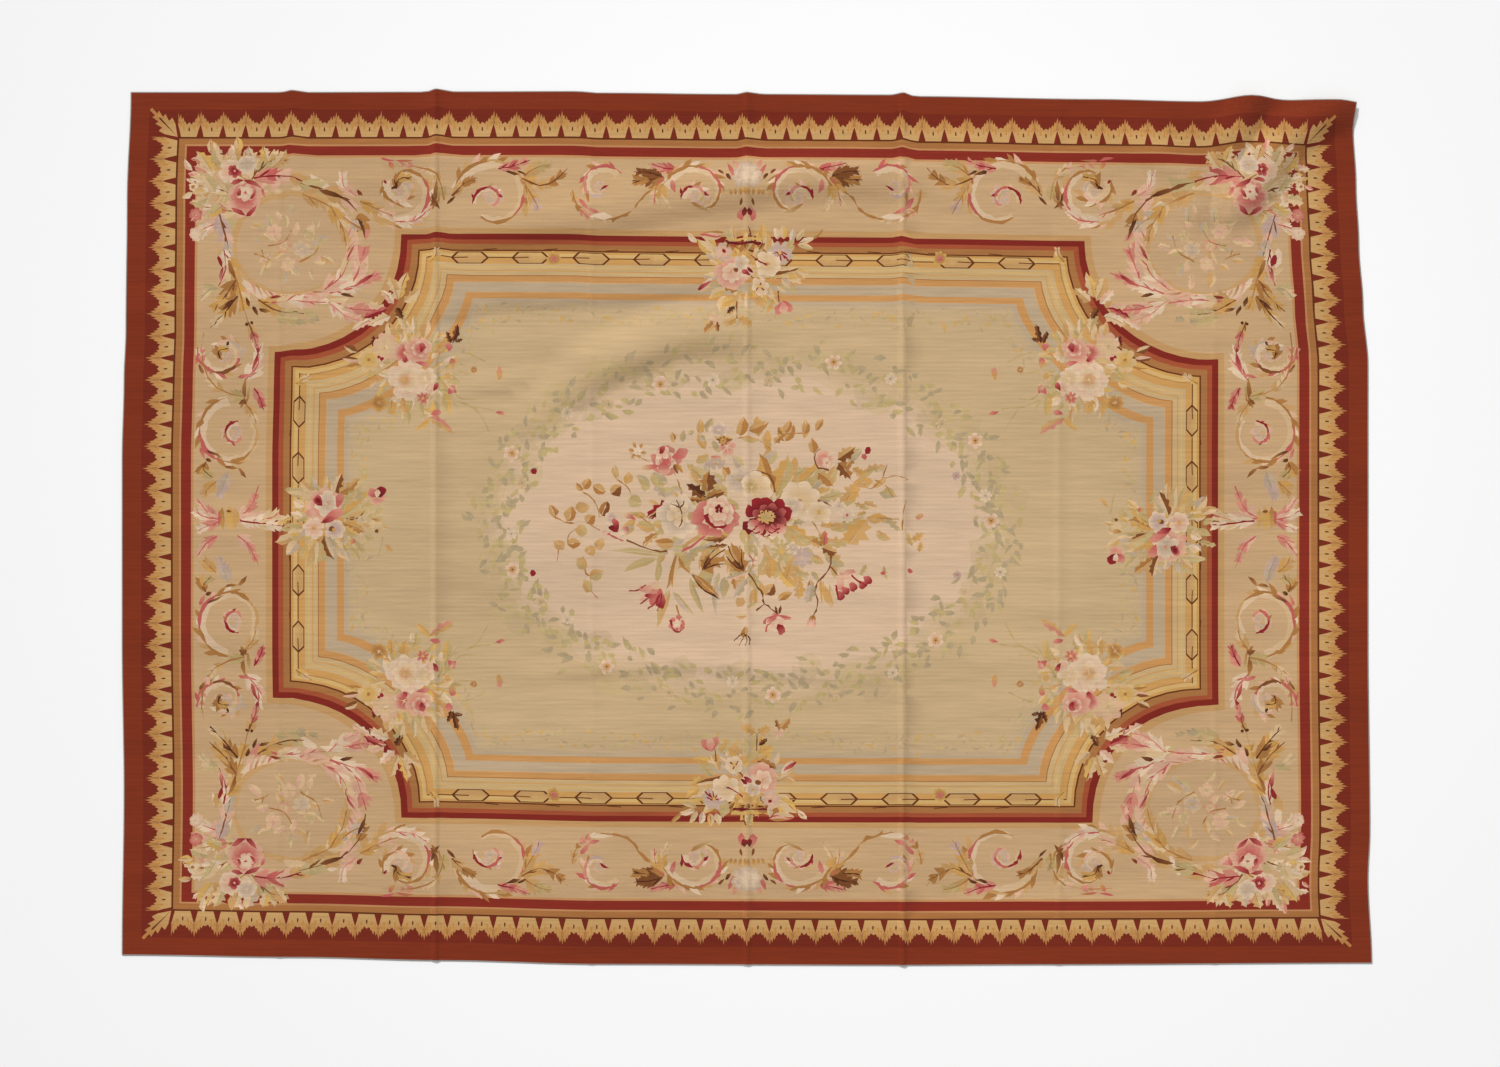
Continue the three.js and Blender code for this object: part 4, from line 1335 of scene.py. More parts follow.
def side_scrolls(at):
    """A quarter of the border's scrolls, from the corner to the middle of the design's short side."""
    scroll((224, 352), 27, 14, 3.3, -3.6, 7, (ROSE, BROWN, ROSE), at, 9)
    scroll((225, 353), 17, 6, 0.4, -4.8, 7, (SILVER, BLUSH, GOLD_BROWN), at, 6)
    fronds(UPPER_SCROLL_FRONDS, at)
    strokes(UPPER_SCROLL_STROKES, at)
    knot(244, 402, at)
    scroll((232, 433), 36, 24, 4.6, -5.2, 8, (GOLD_BROWN, ROSE, GOLD_BROWN, GOLD_TAN), at, 12)
    scroll((236, 435), 14, 5, 4.9, -4.6, 4, (CRIMSON, ROSE, PINK), at, 6)
    fronds(LOWER_SCROLL_FRONDS, at)
    strokes(LOWER_SCROLL_STROKES, at)
    fronds(LOWER_SCROLL_TIPS, at)


CLASP_FRONDS = (
    ((236, 519, 262, 520, 284, 513), 13, (BLUSH, IVORY, CREAM), ROSE),
    ((240, 521, 266, 524, 286, 526), 10, (IVORY, CREAM, IVORY), CRIMSON),
    ((219, 519, 206, 517, 194, 511), 9, (BLUSH, IVORY), ROSE),
    ((219, 522, 208, 526, 196, 531), 8, (PINK, IVORY), ROSE),
)
CLASP_STROKES = (
    (223, 507, 223, 530, 7, GOLD_BROWN, GOLD), (229, 506, 229, 531, 9, GOLD, YELLOW),
    (235, 508, 235, 529, 7, GOLD_TAN, GOLD), (219, 510, 219, 527, 3, ROSE, ROSE),
    (226, 511, 232, 512, 3, BROWN, BROWN),
)


def clasp(at):
    """The gold clasp at the middle of the short side, and the ivory leaf that reaches over the frame."""
    fronds(CLASP_FRONDS, at)
    strokes(CLASP_STROKES, at)


MEDALLION = (291, 245)
MEDALLION_GROUND = wool(191, 158, 121)
MEDALLION_LEAVES = 48
ROPE_HALF = (63, 56)  # the pale rope in the medallion's wreath: its half sizes in pixels
ROPE_TURNS = (2.5, -0.9)  # and the angles at which it starts and ends
ROPE_POINTS = 27
FAINT = ((PALE_OLIVE, CREAM), (BLUSH, CREAM), (SILVER, PALE_OLIVE), (CREAM, GOLD_TAN))


def medallion_rope(at):
    """The pale rope that is wound in coloured threads, over the wreath."""
    rope = np.array([at(*on_oval(MEDALLION, ROPE_HALF, a)) for a in np.linspace(*ROPE_TURNS, ROPE_POINTS)])
    heart = at(*MEDALLION)
    outwards = (rope - heart) / np.abs(rope - heart) * PIXEL
    wide = np.interp(np.arange(ROPE_POINTS), (0, 5, 20, 26), (3, 13, 12, 3)) * PIXEL
    cartoon.weave(strip(rope, wide), IVORY, BLUSH, heart, rope[ROPE_POINTS // 2] - heart, cover=0.85)
    for k in range(2, ROPE_POINTS - 2):
        colour = (GOLD_TAN, ROSE, PINK, GOLD_BROWN)[k % 4]
        stroke(rope[k - 1] - 6 * outwards[k], rope[k + 1] + 5 * outwards[k], 2.4 * PIXEL, colour,
               BLUSH, 0.15)


# The motifs of the far left medallion and of the flowers beside it.
POSY_FLOWERS = (
    (274, 232, 9, 6, 0.7, BLUSH, CREAM), (302, 250, 9, 6, 0.7, SILVER, CREAM),
    (288, 264, 8, 6, 0.7, CREAM, BLUSH), (284, 246, 7, 5, 0.7, CREAM, PINK),
    (310, 236, 6, 5, 0.7, PALE_OLIVE, CREAM),
)
POSY_STEMS = (
    (254, 254, 262, 256, 270, 260), (268, 246, 284, 242, 292, 230), (262, 250, 264, 258),
    (300, 262, 316, 252, 322, 236),
)
MEDALLION_FRONDS = (
    ((252, 180, 262, 166, 284, 152), 13, (CREAM, GOLD_TAN, CREAM), BROWN),
    ((246, 180, 226, 168, 206, 162), 13, (CREAM, YELLOW, GOLD_TAN), GOLD_BROWN),
    ((238, 200, 222, 190, 200, 186), 11, (PALE_OLIVE, CREAM, IVORY), BROWN),
    ((236, 212, 222, 210, 200, 206), 11, (CREAM, PINK, IVORY), GOLD_BROWN),
    ((226, 222, 210, 226, 192, 234), 10, (BLUSH, IVORY), ROSE),
    ((258, 172, 272, 160, 290, 160), 10, (PALE_OLIVE, GOLD_TAN), BROWN),
    ((254, 178, 280, 176, 311, 185), 13, (PINK, ROSE, BLUSH, GOLD_TAN), CRIMSON),
    ((300, 183, 324, 190, 348, 201, 362, 220, 366, 240), 14,
     (PALE_OLIVE, GOLD_TAN, BLUSH, GOLD_BROWN), BROWN),
    ((302, 194, 326, 204, 350, 222, 366, 230), 12, (GOLD_TAN, CREAM, SILVER), GOLD_BROWN),
    ((356, 196, 344, 186, 342, 168), 9, (BLUSH, IVORY), PINK),
    ((330, 206, 342, 226, 347, 246), 11, (GOLD, CREAM, GOLD_TAN), GOLD_BROWN),
    ((330, 294, 352, 284, 361, 262, 366, 244), 14, (IVORY, CREAM, BLUSH, PINK), ROSE),
    ((324, 290, 342, 276, 350, 256), 12, (BLUSH, IVORY, CREAM), ROSE),
    ((340, 291, 362, 283, 384, 273), 11, (IVORY, BLUSH, PINK), ROSE),
    ((328, 302, 352, 309, 380, 311), 13, (CREAM, BLUSH, PINK), ROSE),
    ((330, 303, 346, 316, 366, 322), 10, (IVORY, BLUSH), PINK),
    ((262, 304, 292, 300, 326, 303), 12, (GOLD_TAN, CREAM, IVORY, BLUSH), ROSE),
    ((258, 300, 280, 312, 304, 314), 9, (GOLD, GOLD_TAN, PALE_OLIVE), BROWN),
    ((219, 215, 227, 240, 232, 262), 12, (LILAC, BLUSH, SILVER), BROWN),
    ((228, 256, 238, 284, 248, 322), 11, (GOLD, GOLD_TAN, GOLD), GOLD_BROWN),
    ((236, 280, 226, 296, 209, 312), 11, (GOLD_BROWN, GOLD_TAN, GOLD), BROWN),
    ((238, 296, 224, 314, 210, 328), 10, (GOLD_BROWN, GOLD, CREAM), DARK_BROWN),
    ((218, 288, 210, 290, 200, 299), 9, (PALE_OLIVE, CREAM), GREY_OLIVE),
    ((224, 250, 226, 268, 219, 286), 7, (IVORY, BLUSH), CRIMSON),
    ((248, 322, 254, 336, 258, 352), 7, (GOLD_TAN, ROSE, PINK), BROWN),
    ((276, 318, 300, 322, 328, 316), 7, (PALE_OLIVE, GREY_OLIVE), OLIVE),
)
MEDALLION_TORN_LEAVES = (
    (212, 172, 197, 152, 15, CREAM, YELLOW), (224, 168, 214, 147, 14, PALE_OLIVE, CREAM),
    (239, 162, 234, 145, 13, CREAM, GOLD_TAN), (254, 164, 248, 147, 13, SILVER, CREAM),
    (268, 162, 263, 146, 12, YELLOW, CREAM), (273, 168, 287, 150, 13, CREAM, GOLD_TAN),
    (207, 182, 190, 177, 10, IVORY, CREAM), (208, 198, 190, 204, 13, PALE_OLIVE, CREAM),
    (209, 212, 191, 221, 11, CREAM, BLUSH), (207, 230, 193, 241, 11, IVORY, CREAM),
    (216, 192, 203, 174, 14, CREAM, PALE_OLIVE), (222, 206, 206, 216, 13, YELLOW, PALE_OLIVE),
)
MEDALLION_FLOWERS = (
    (245, 199, 19, 8, 0.7, PINK, BLUSH), (245, 196, 14, 7, 0.75, ROSE, PINK),
    (246, 193, 9, 6, 0.8, IVORY, BLUSH), (230, 171, 12, 7, 0.8, BLUSH, IVORY),
    (235, 171, 7, 6, 0.8, CRIMSON, ROSE), (247, 165, 10, 7, 0.75, SILVER, IVORY),
    (194, 187, 5, 6, 0.8, IVORY, CREAM), (196, 215, 7, 6, 0.8, PINK, ROSE),
    (196, 234, 7, 6, 0.8, IVORY, BLUSH),
)
MEDALLION_STROKES = (
    (231, 183, 244, 180, 5, ROSE, CRIMSON), (244, 180, 262, 188, 5, CRIMSON, ROSE),
    (262, 188, 266, 198, 4, ROSE, PINK), (232, 208, 246, 216, 5, ROSE, CRIMSON),
    (246, 216, 257, 205, 5, CRIMSON, ROSE), (238, 196, 240, 188, 4, CRIMSON, ROSE),
    (250, 199, 256, 190, 4, CRIMSON, ROSE), (218, 255, 223, 268, 5, CRIMSON, CRIMSON),
    (223, 266, 221, 284, 4, CRIMSON, PINK), (229, 260, 236, 280, 4, GOLD_BROWN, BROWN),
    (320, 190, 345, 198, 5, BROWN, DARK_BROWN), (358, 218, 366, 239, 4, DARK_BROWN, BROWN),
    (357, 190, 363, 196, 4, CRIMSON, BROWN), (355, 245, 346, 262, 3, ROSE, CRIMSON),
    (375, 274, 354, 288, 4, CRIMSON, ROSE), (231, 303, 222, 311, 4, DARK_BROWN, BROWN),
    (246, 297, 250, 307, 4, DARK_BROWN, BROWN), (253, 306, 258, 316, 4, DARK_BROWN, BROWN),
    (259, 309, 271, 312, 4, DARK_BROWN, GOLD_BROWN), (270, 298, 282, 296, 3, CRIMSON, BROWN),
    (340, 294, 354, 297, 4, DARK_BROWN, BROWN),
)
MEDALLION_BERRIES = (
    (247, 324, 1.8, DARK_BROWN), (252, 323, 1.8, DARK_BROWN), (193, 187, 2, GOLD_BROWN),
)


def medallion(at):
    """The corner medallion: a faint posy in an oval wreath of acanthus, and the flowers beside it."""
    turn = np.linspace(0, 2 * math.pi, 37)[:-1]
    for rx, ry, colour in ((60, 53, GOLD_TAN), (54, 48, MEDALLION_GROUND)):
        rim = [at(*on_oval(MEDALLION, (rx, ry), a)) for a in turn]
        cartoon.weave(np.array(rim), colour, cover=0.8)
    for k in range(MEDALLION_LEAVES):
        angle = 2.4 * k
        out = rng.uniform(1.0, 1.32)
        x, y = on_oval(MEDALLION, (58 * out, 52 * out), angle)
        lean = angle + rng.choice([-1, 1]) * rng.uniform(1.0, 1.7)
        reach = rng.uniform(13, 22)
        tint = (BLUSH, CREAM, GOLD_TAN, IVORY, PALE_OLIVE, GOLD_TAN, PINK)[k % 7]
        tip = at(*on_oval((x, y), (reach, reach), lean))
        stroke(at(x, y), tip, reach * 0.4 * PIXEL, tint, tint * 1.05, rng.uniform(-0.25, 0.25))
    medallion_rope(at)
    foliage(MEDALLION, (36, 32), 26, 14, FAINT, at)
    foliage((224, 180), (36, 30), 46, 13,
            ((PINK, BLUSH), (IVORY, CREAM), (CREAM, YELLOW), (BLUSH, IVORY), (CREAM, GOLD_TAN)), at)
    rings(POSY_FLOWERS, at)
    stems(POSY_STEMS, GOLD_BROWN, 1.4, at)
    fronds(MEDALLION_FRONDS, at)
    leaves(MEDALLION_TORN_LEAVES, torn=True, at=at)
    rings(MEDALLION_FLOWERS, at)
    strokes(MEDALLION_STROKES, at)
    blots(MEDALLION_BERRIES, at)


def border_scrolls():
    for at in FOUR_CORNERS:
        end_scrolls(at)
        side_scrolls(at)
        medallion(at)
        rings(((554, 259, 7.5, 8, 0.6, GOLD_BROWN, YELLOW), (554, 259, 3.5, 5, 0.8, ROSE, PINK)), at)
        fronds((((430, 262, 436, 256, 437, 248), 6, (YELLOW, CREAM), GOLD_BROWN),
                ((296, 384, 303, 380, 312, 374), 6, (YELLOW, CREAM), GOLD_BROWN)), at)
    clasp(seen)
    clasp(mirrored_across)


# Where each spray on the frame starts, in the photograph's pixels.
NEAR_SPRAY = (747, 811)
FAR_SPRAY = (747, 241)
LEFT_SPRAY = (273, 527)
RIGHT_SPRAY = (1220, 524)


def sprays():
    end_spray(lambda along, out: seen(NEAR_SPRAY[0] + along, NEAR_SPRAY[1] - out))
    end_spray(lambda along, out: seen(FAR_SPRAY[0] - along, FAR_SPRAY[1] + out))
    side_spray(lambda out, up: seen(LEFT_SPRAY[0] + out, LEFT_SPRAY[1] - up))
    side_spray(lambda out, up: seen(RIGHT_SPRAY[0] - out, RIGHT_SPRAY[1] + up))
    for at in FOUR_CORNERS:
        corner_spray(at)


# The faint wreath round the oval: its middle line is an ellipse, and its leaves point along it both ways.
WREATH_MIDDLE = (748, 526)
WREATH_HALF = (252, 163)
WREATH_WIDTH = 50
WREATH_PATCHES = 64
WREATH_LEAVES = 620
WREATH_FLOWERS = 26
WREATH_GREENS = ((DIM_OLIVE, GREY_OLIVE), (LIME, DIM_OLIVE), (PALE_OLIVE, LIME), (GREY_OLIVE, DIM_OLIVE))


def in_wreath(turn, out):
    """The pixel at this angle in the wreath, and this far out from its middle line."""
    return on_oval(WREATH_MIDDLE, (WREATH_HALF[0] + out, WREATH_HALF[1] + out), turn)


def wreath():
    for k in range(WREATH_PATCHES):
        turn = 2 * math.pi * (k + rng.uniform(-0.4, 0.4)) / WREATH_PATCHES
        x, y = in_wreath(turn, rng.uniform(-0.4, 0.5) * WREATH_WIDTH)
        angles = np.arange(9) / 9 * 2 * math.pi
        reach = rng.uniform(9, 19, 9)
        patch = [seen(*on_oval((x, y), (r, 0.8 * r), a)) for r, a in zip(reach, angles)]
        cartoon.weave(np.array(patch), (LIME, PALE_OLIVE, DIM_OLIVE)[k % 3], cover=0.32)
    for k in range(WREATH_LEAVES):
        turn = 2 * math.pi * (k + rng.uniform(-0.4, 0.4)) / WREATH_LEAVES
        lean = rng.choice([-1, 1]) * rng.uniform(0.25, 1.1)
        x, y = in_wreath(turn, rng.uniform(-0.5, 0.5) * WREATH_WIDTH)
        along = np.angle(complex(-WREATH_HALF[0] * math.sin(turn), WREATH_HALF[1] * math.cos(turn))) + lean
        length = rng.uniform(7, 15)
        tints = WREATH_GREENS[rng.integers(4)]
        foot = seen(x, y)
        tip = seen(*on_oval((x, y), (length, length), along))
        stroke(foot, tip, rng.uniform(4, 6.5) * PIXEL, *tints, rng.uniform(-0.25, 0.25))
    for k in range(WREATH_FLOWERS):
        turn = 2 * math.pi * (k + rng.uniform(-0.3, 0.3)) / WREATH_FLOWERS
        x, y = in_wreath(turn, rng.uniform(-0.35, 0.35) * WREATH_WIDTH)
        if k % 3:
            daisy(seen(x, y), rng.uniform(5, 7) * PIXEL, (BLUSH, IVORY, CREAM)[k % 3], GREY_OLIVE)
        else:
            ring(seen(x, y), 8 * PIXEL, 6, 0.7, BLUSH, IVORY, turn, 0.15)
            daisy(seen(x, y), 3.6 * PIXEL, GOLD, DARK_BROWN)


SCRIBBLES = 560
SCRIBBLE_RIM = FRAME_DEPTH + 22
SCRIBBLE_BAND = (14, 72)  # how far in from the frame's inmost line the yellow sprigs lie, in millimetres


def scribbles():
    """The band of small yellow-green sprigs just inside the frame."""
    near = framed(SCRIBBLE_RIM)
    lengths = np.abs(np.diff(np.append(near, near[0])))
    total = np.concatenate([[0], np.cumsum(lengths)])
    for k in range(SCRIBBLES):
        at = total[-1] * (k + rng.uniform(-0.5, 0.5)) / SCRIBBLES % total[-1]
        side = min(np.searchsorted(total, at, "right") - 1, len(near) - 1)
        ahead = near[(side + 1) % len(near)] - near[side]
        ahead /= abs(ahead)
        place = near[side] + ahead * (at - total[side]) - 1j * ahead * rng.uniform(*SCRIBBLE_BAND)
        way = ahead * np.exp(1j * rng.uniform(-1.2, 1.2)) * rng.uniform(16, 34) * rng.choice([-1, 1])
        middle = place + way / 2 + 0.16j * way
        colour = (LIME, YELLOW, DIM_OLIVE)[rng.integers(3)]
        cartoon.weave(np.array([place, middle + 0.13j * way, place + way, middle - 0.17j * way]),
                      vary(colour), cover=0.85)


outer_bands()
leaf_borders()
frame_bands()
reed_cells()
field()
cartoon.wobble = WOBBLE
border_scrolls()
scribbles()
wreath()
bouquet_leaves()
bouquet_flowers()
sprays()


def grid_points(step):
    """Points of the sheet's own mesh, close where a swag lifts it and far apart where it lies flat."""
    x = np.linspace(-HALF_LENGTH, HALF_LENGTH, round(2 * HALF_LENGTH / step) + 1)[1:-1]
    y = np.linspace(-HALF_WIDTH, HALF_WIDTH, round(2 * HALF_WIDTH / step) + 1)[1:-1]
    grid = x[None, :] + 1j * y[:, None]
    kept = np.zeros(grid.shape, bool)
    kept[1::FLAT_EVERY, 1::FLAT_EVERY] = True
    lies = laid_out(grid)
    for reach in (0, step, -step, 1j * step, -1j * step):
        kept |= swags_lift(lies + reach) > LIFTED
    x = np.arange(CORNER_WAVES.real, HALF_LENGTH - CORNER_GRID / 2, CORNER_GRID)
    y = np.arange(CORNER_WAVES.imag, HALF_WIDTH - CORNER_GRID / 2, CORNER_GRID)
    corner = (x[None, :] + 1j * y[:, None]).ravel()
    corner = corner[swags_lift(laid_out(corner)) > CORNER_LIFTED]
    return np.concatenate([grid[kept], corner])


def crease_lines():
    """Lines along which the sheet bends at its creases, each a row of places."""
    y = np.linspace(-HALF_WIDTH, HALF_WIDTH, round(2 * HALF_WIDTH / GRID) + 1)
    for k, height in enumerate(CREASE_HEIGHTS):
        shares = (-1, -0.5, 0, 0.5, 1) if height > SHARP_CREASE else (-1, 0, 1)
        for share in shares:
            yield crease_middle(k) + share * CREASE_HALF_WIDTH + 1j * y


RIM_BAND = 150.0  # the cloth's edges wander, so its outlines are fine this near to them


def fine(outline):
    """The closed outline with more points on its long sides, so that the cloth can bend there."""
    ends = np.roll(outline, -1)
    parts = []
    for a, b in zip(outline, ends):
        count = max(1, round(abs(b - a) / GRID))
        share = np.arange(count) / count
        between = a + (b - a) * share
        if count > FLAT_EVERY:
            wanted = np.arange(count) % FLAT_EVERY == 0
            wanted |= np.abs(between.real) > HALF_LENGTH - RIM_BAND
            wanted |= np.abs(between.imag) > HALF_WIDTH - RIM_BAND
            wanted |= swags_lift(laid_out(between)) > LIFTED
            between = between[wanted]
        parts.append(between)
    return np.concatenate(parts)


def encloses(outline, place):
    """Which of the places lie inside the outline."""
    inside = np.zeros(len(place), bool)
    for a, b in zip(outline, np.roll(outline, -1)):
        if a.imag == b.imag:
            continue
        spans = (a.imag > place.imag) != (b.imag > place.imag)
        crossing = a.real + (place.imag - a.imag) * (b.real - a.real) / (b.imag - a.imag)
        inside ^= spans & (place.real < crossing)
    return inside


TESTED = np.array([0.08, 0.5, 0.92])  # where along an edge it is tested for lying under later wool


def shown_edges(outlines):
    """For each outline, which of its edges aren't wholly under outlines that are woven over it."""
    starts = np.concatenate(outlines)
    ends = np.concatenate([np.roll(outline, -1) for outline in outlines])
    owner = np.repeat(np.arange(len(outlines)), [len(outline) for outline in outlines])
    owner = np.repeat(owner, len(TESTED))
    place = (starts[:, None] + (ends - starts)[:, None] * TESTED).ravel()
    rising = np.argsort(place.imag)
    heights = place.imag[rising]
    hidden = np.zeros(len(place), bool)
    for k, outline in enumerate(outlines):
        if cartoon.fills[k][-1] < 1:
            continue
        low, high = np.searchsorted(heights, (outline.imag.min(), outline.imag.max()))
        rows = rising[low:high]
        rows = rows[(owner[rows] < k) & ~hidden[rows]]
        across = place.real[rows]
        rows = rows[(across > outline.real.min()) & (across < outline.real.max())]
        hidden[rows[encloses(outline, place[rows])]] = True
    shown = ~hidden.reshape(-1, len(TESTED)).all(1)
    return np.split(shown, np.cumsum([len(outline) for outline in outlines])[:-1])


def triangulate(outlines, lines, extra):
    """The places and triangles of a sheet whose triangles keep to these closed outlines and open lines."""
    points, edges, start = [], [], 0
    outlines = [fine(outline) for outline in outlines]
    shown = shown_edges(outlines) if outlines else []
    for outline, seen_edge in zip(outlines, shown):
        used = seen_edge | np.roll(seen_edge, 1)
        number = start + np.cumsum(used) - 1
        joined = np.stack([number, np.roll(number, -1)], 1)
        edges.append(joined[seen_edge])
        points.append(outline[used])
        start += int(used.sum())
    for line in lines:
        number = np.arange(start, start + len(line))
        edges.append(np.stack([number[:-1], number[1:]], 1))
        points.append(line)
        start += len(line)
    points = np.concatenate([*points, extra])
    corners = [Vector((z.real, z.imag)) for z in points]
    out = delaunay_2d_cdt(corners, np.concatenate(edges).tolist(), [], 0, EPSILON, False)
    return np.array([complex(v.x, v.y) for v in out[0]]), np.array(out[2])


SLOPE_STEP = 2.0  # a slope is measured over twice this


def surface_normals(place):
    """The upper surface's normals, from the slope of the lie itself, so that no thin triangle shows."""
    slope_x = (lift(place + SLOPE_STEP) - lift(place - SLOPE_STEP)) / (2 * SLOPE_STEP)
    slope_y = (lift(place + 1j * SLOPE_STEP) - lift(place - 1j * SLOPE_STEP)) / (2 * SLOPE_STEP)
    normal = np.stack([-slope_x, -slope_y, np.ones(len(place))], 1)
    return normal / np.linalg.norm(normal, axis=1)[:, None]


def boundary_edges(triangles):
    """The directed edges that only one triangle has."""
    edges = np.concatenate([triangles[:, [0, 1]], triangles[:, [1, 2]], triangles[:, [2, 0]]])
    known = {(int(a), int(b)) for a, b in edges}
    return sorted((a, b) for a, b in known if (b, a) not in known)


HATCHING = 0.05  # how much small patches of a motif differ in brightness, as its hatched picks do
HATCHED_AREA = 90.0  # square millimetres


def paint(place, triangles):
    """Each triangle's three corner colours: the outlines laid over each other in their order."""
    corners = place[triangles]
    middle = corners.mean(1)
    rising = np.argsort(middle.imag)
    heights = middle.imag[rising]
    colour = np.zeros((len(triangles), 3, 3))
    for outline, (near, far, start, reach, cover) in zip(cartoon.outlines, cartoon.fills):
        low, high = np.searchsorted(heights, (outline.imag.min(), outline.imag.max()))
        rows = rising[low:high]
        across = middle.real[rows]
        rows = rows[(across > outline.real.min()) & (across < outline.real.max())]
        rows = rows[encloses(outline, middle[rows])]
        away = (corners[rows] - start) / reach
        t = smooth(away.real)[..., None]
        colour[rows] += (near + (far - near) * t - colour[rows]) * cover
    sides = corners[:, 1:] - corners[:, :1]
    area = np.abs((sides[:, 0].conj() * sides[:, 1]).imag) / 2
    uneven = rng.uniform(-HATCHING, HATCHING, len(triangles)) * (area < HATCHED_AREA)
    return colour * (1 + uneven)[:, None, None]


def rounded(place):
    """The place to a hundredth of a millimetre, to find the same one in another mesh."""
    return (round(place.real, 2), round(place.imag, 2))


def compact(place, triangles):
    """Only the places that these triangles use, and the triangles renumbered to them."""
    used, triangles = np.unique(triangles, return_inverse=True)
    return place[used], triangles.reshape(-1, 3)


UV_SPAN = 2.1 * HALF_LENGTH  # the side of the square that the UV map covers


def set_out(name, data):
    """Puts a mesh, lamp or camera into the scene under this name."""
    thing = bpy.data.objects.new(name, data)
    bpy.context.scene.collection.objects.link(thing)
    return thing


def sheet_piece(name, top_sheet, colour, under_sheet):
    """A part of the carpet: the design on its face, a plain underside of coarser mesh, and a rim."""
    place, top = compact(*top_sheet)
    under, below = compact(*under_sheet)
    lies, lies_under = laid_out(place), laid_out(under)
    near = {rounded(z): k for k, z in enumerate(under)}
    count = len(place)
    high = np.stack([lies.real, lies.imag, lift(lies) + THICKNESS], 1)
    low = np.stack([lies_under.real, lies_under.imag, lift(lies_under)], 1)
    faces = [*top.tolist(), *(count + below[:, ::-1]).tolist()]
    for a, b in boundary_edges(top):
        c, d = count + near[rounded(place[b])], count + near[rounded(place[a])]
        faces += [[a, d, c], [a, c, b]]
    mesh = bpy.data.meshes.new(name)
    mesh.from_pydata((np.concatenate([high, low]) * MM).tolist(), [], faces)
    mesh.validate()
    piece = set_out(name, mesh)
    tint = np.ones((len(faces), 3, 4))
    tint[:, :, :3] = UNDERSIDE
    tint[: len(top), :, :3] = colour
    tint[len(top) + len(below):, :, :3] = RUST
    layer = mesh.color_attributes.new("wool", "FLOAT_COLOR", "CORNER")
    layer.data.foreach_set("color", tint.ravel())
    shown = mesh.uv_layers.new(name="OFBake")
    corners = np.concatenate([high, low])[np.array(faces).ravel()]
    flat = corners[:, :2] / UV_SPAN + 0.5
    shown.data.foreach_set("uv", flat.ravel())
    mesh.shade_smooth()
    normals = np.concatenate([surface_normals(lies), -surface_normals(lies_under)])
    mesh.normals_split_custom_set_from_vertices(normals.tolist())
    return piece


def carpet_pieces():
    """The carpet as two pieces of mesh, the panel and the border, which meet along the frame's red line."""
    seam = fine(framed(0))
    seam_line = np.append(seam, seam[0])
    place, top = triangulate(cartoon.outlines, [*crease_lines(), seam_line], grid_points(GRID))
    colour = paint(place, top)
    in_panel = encloses(seam, place[top].mean(1))
    joins = {tuple(sorted(edge)) for part in (in_panel, ~in_panel) for edge in boundary_edges(top[part])}
    ends = [place[list(edge)] for edge in sorted(joins)]
    under, below = triangulate([], [*crease_lines(), *ends], grid_points(UNDER_GRID))
    below_panel = encloses(seam, under[below].mean(1))
    panel = sheet_piece("tapestry_panel", (place, top[in_panel]), colour[in_panel],
                        (under, below[below_panel]))
    border = sheet_piece("tapestry_border", (place, top[~in_panel]), colour[~in_panel],
                         (under, below[~below_panel]))
    return panel, border


# How much each kind of unevenness in the wool changes its brightness: its stretch along X and Y in turns a
# metre, how many octaves it has and the share by which it lightens or darkens.
UNEVENNESS = (
    ((7, 120), 3, 0.19),  # single picks of weft, dyed a little apart
    ((0.7, 11), 2, 0.15),  # bands from one batch of wool to the next
    ((1.6, 2.1), 2, 0.11),  # wear and soil
    ((420, 420), 1, 0.18),  # the grain of the weave
)
RIB_PITCH = 0.0042  # metres from one rib of the weave to the next
RIB_HEIGHT = 0.0005
RIB_WANDER = 1.2  # how far the ribs stray from straight
WOOL_SHINE = 0.12
WOOL_FUZZ = 0.06  # the faint sheen of its loose fibres
FUZZ_ROUGHNESS = 0.6
ROUGHNESS = (0.88, 0.12)  # the smoothest wool, and how much rougher its patches may be
ROUGH_TURNS = (3, 60)  # turns a metre along X and Y, as for the picks
PICK_TURNS = (40, 160)
PICK_WEIGHT = 1.5  # how high the picks stand, where a rib is 1
RELIEF = 0.7


def reckon(tree, operation, a, b):
    """Adds a sum to the material. Each of its two numbers is a value or another node's output."""
    node = tree.nodes.new("ShaderNodeMath")
    node.operation = operation
    for socket, value in zip(node.inputs, (a, b)):
        if isinstance(value, bpy.types.NodeSocket):
            tree.links.new(value, socket)
        else:
            socket.default_value = value
    return node.outputs["Value"]


def patches(tree, place, turns, octaves):
    """Soft patches over the cloth, with this many turns a metre along X and Y."""
    mapping = tree.nodes.new("ShaderNodeMapping")
    mapping.inputs["Scale"].default_value = (*turns, 1)
    tree.links.new(place, mapping.inputs["Vector"])
    noise = tree.nodes.new("ShaderNodeTexNoise")
    noise.inputs["Scale"].default_value = 1
    noise.inputs["Detail"].default_value = octaves
    tree.links.new(mapping.outputs["Vector"], noise.inputs["Vector"])
    return noise.outputs["Fac"]


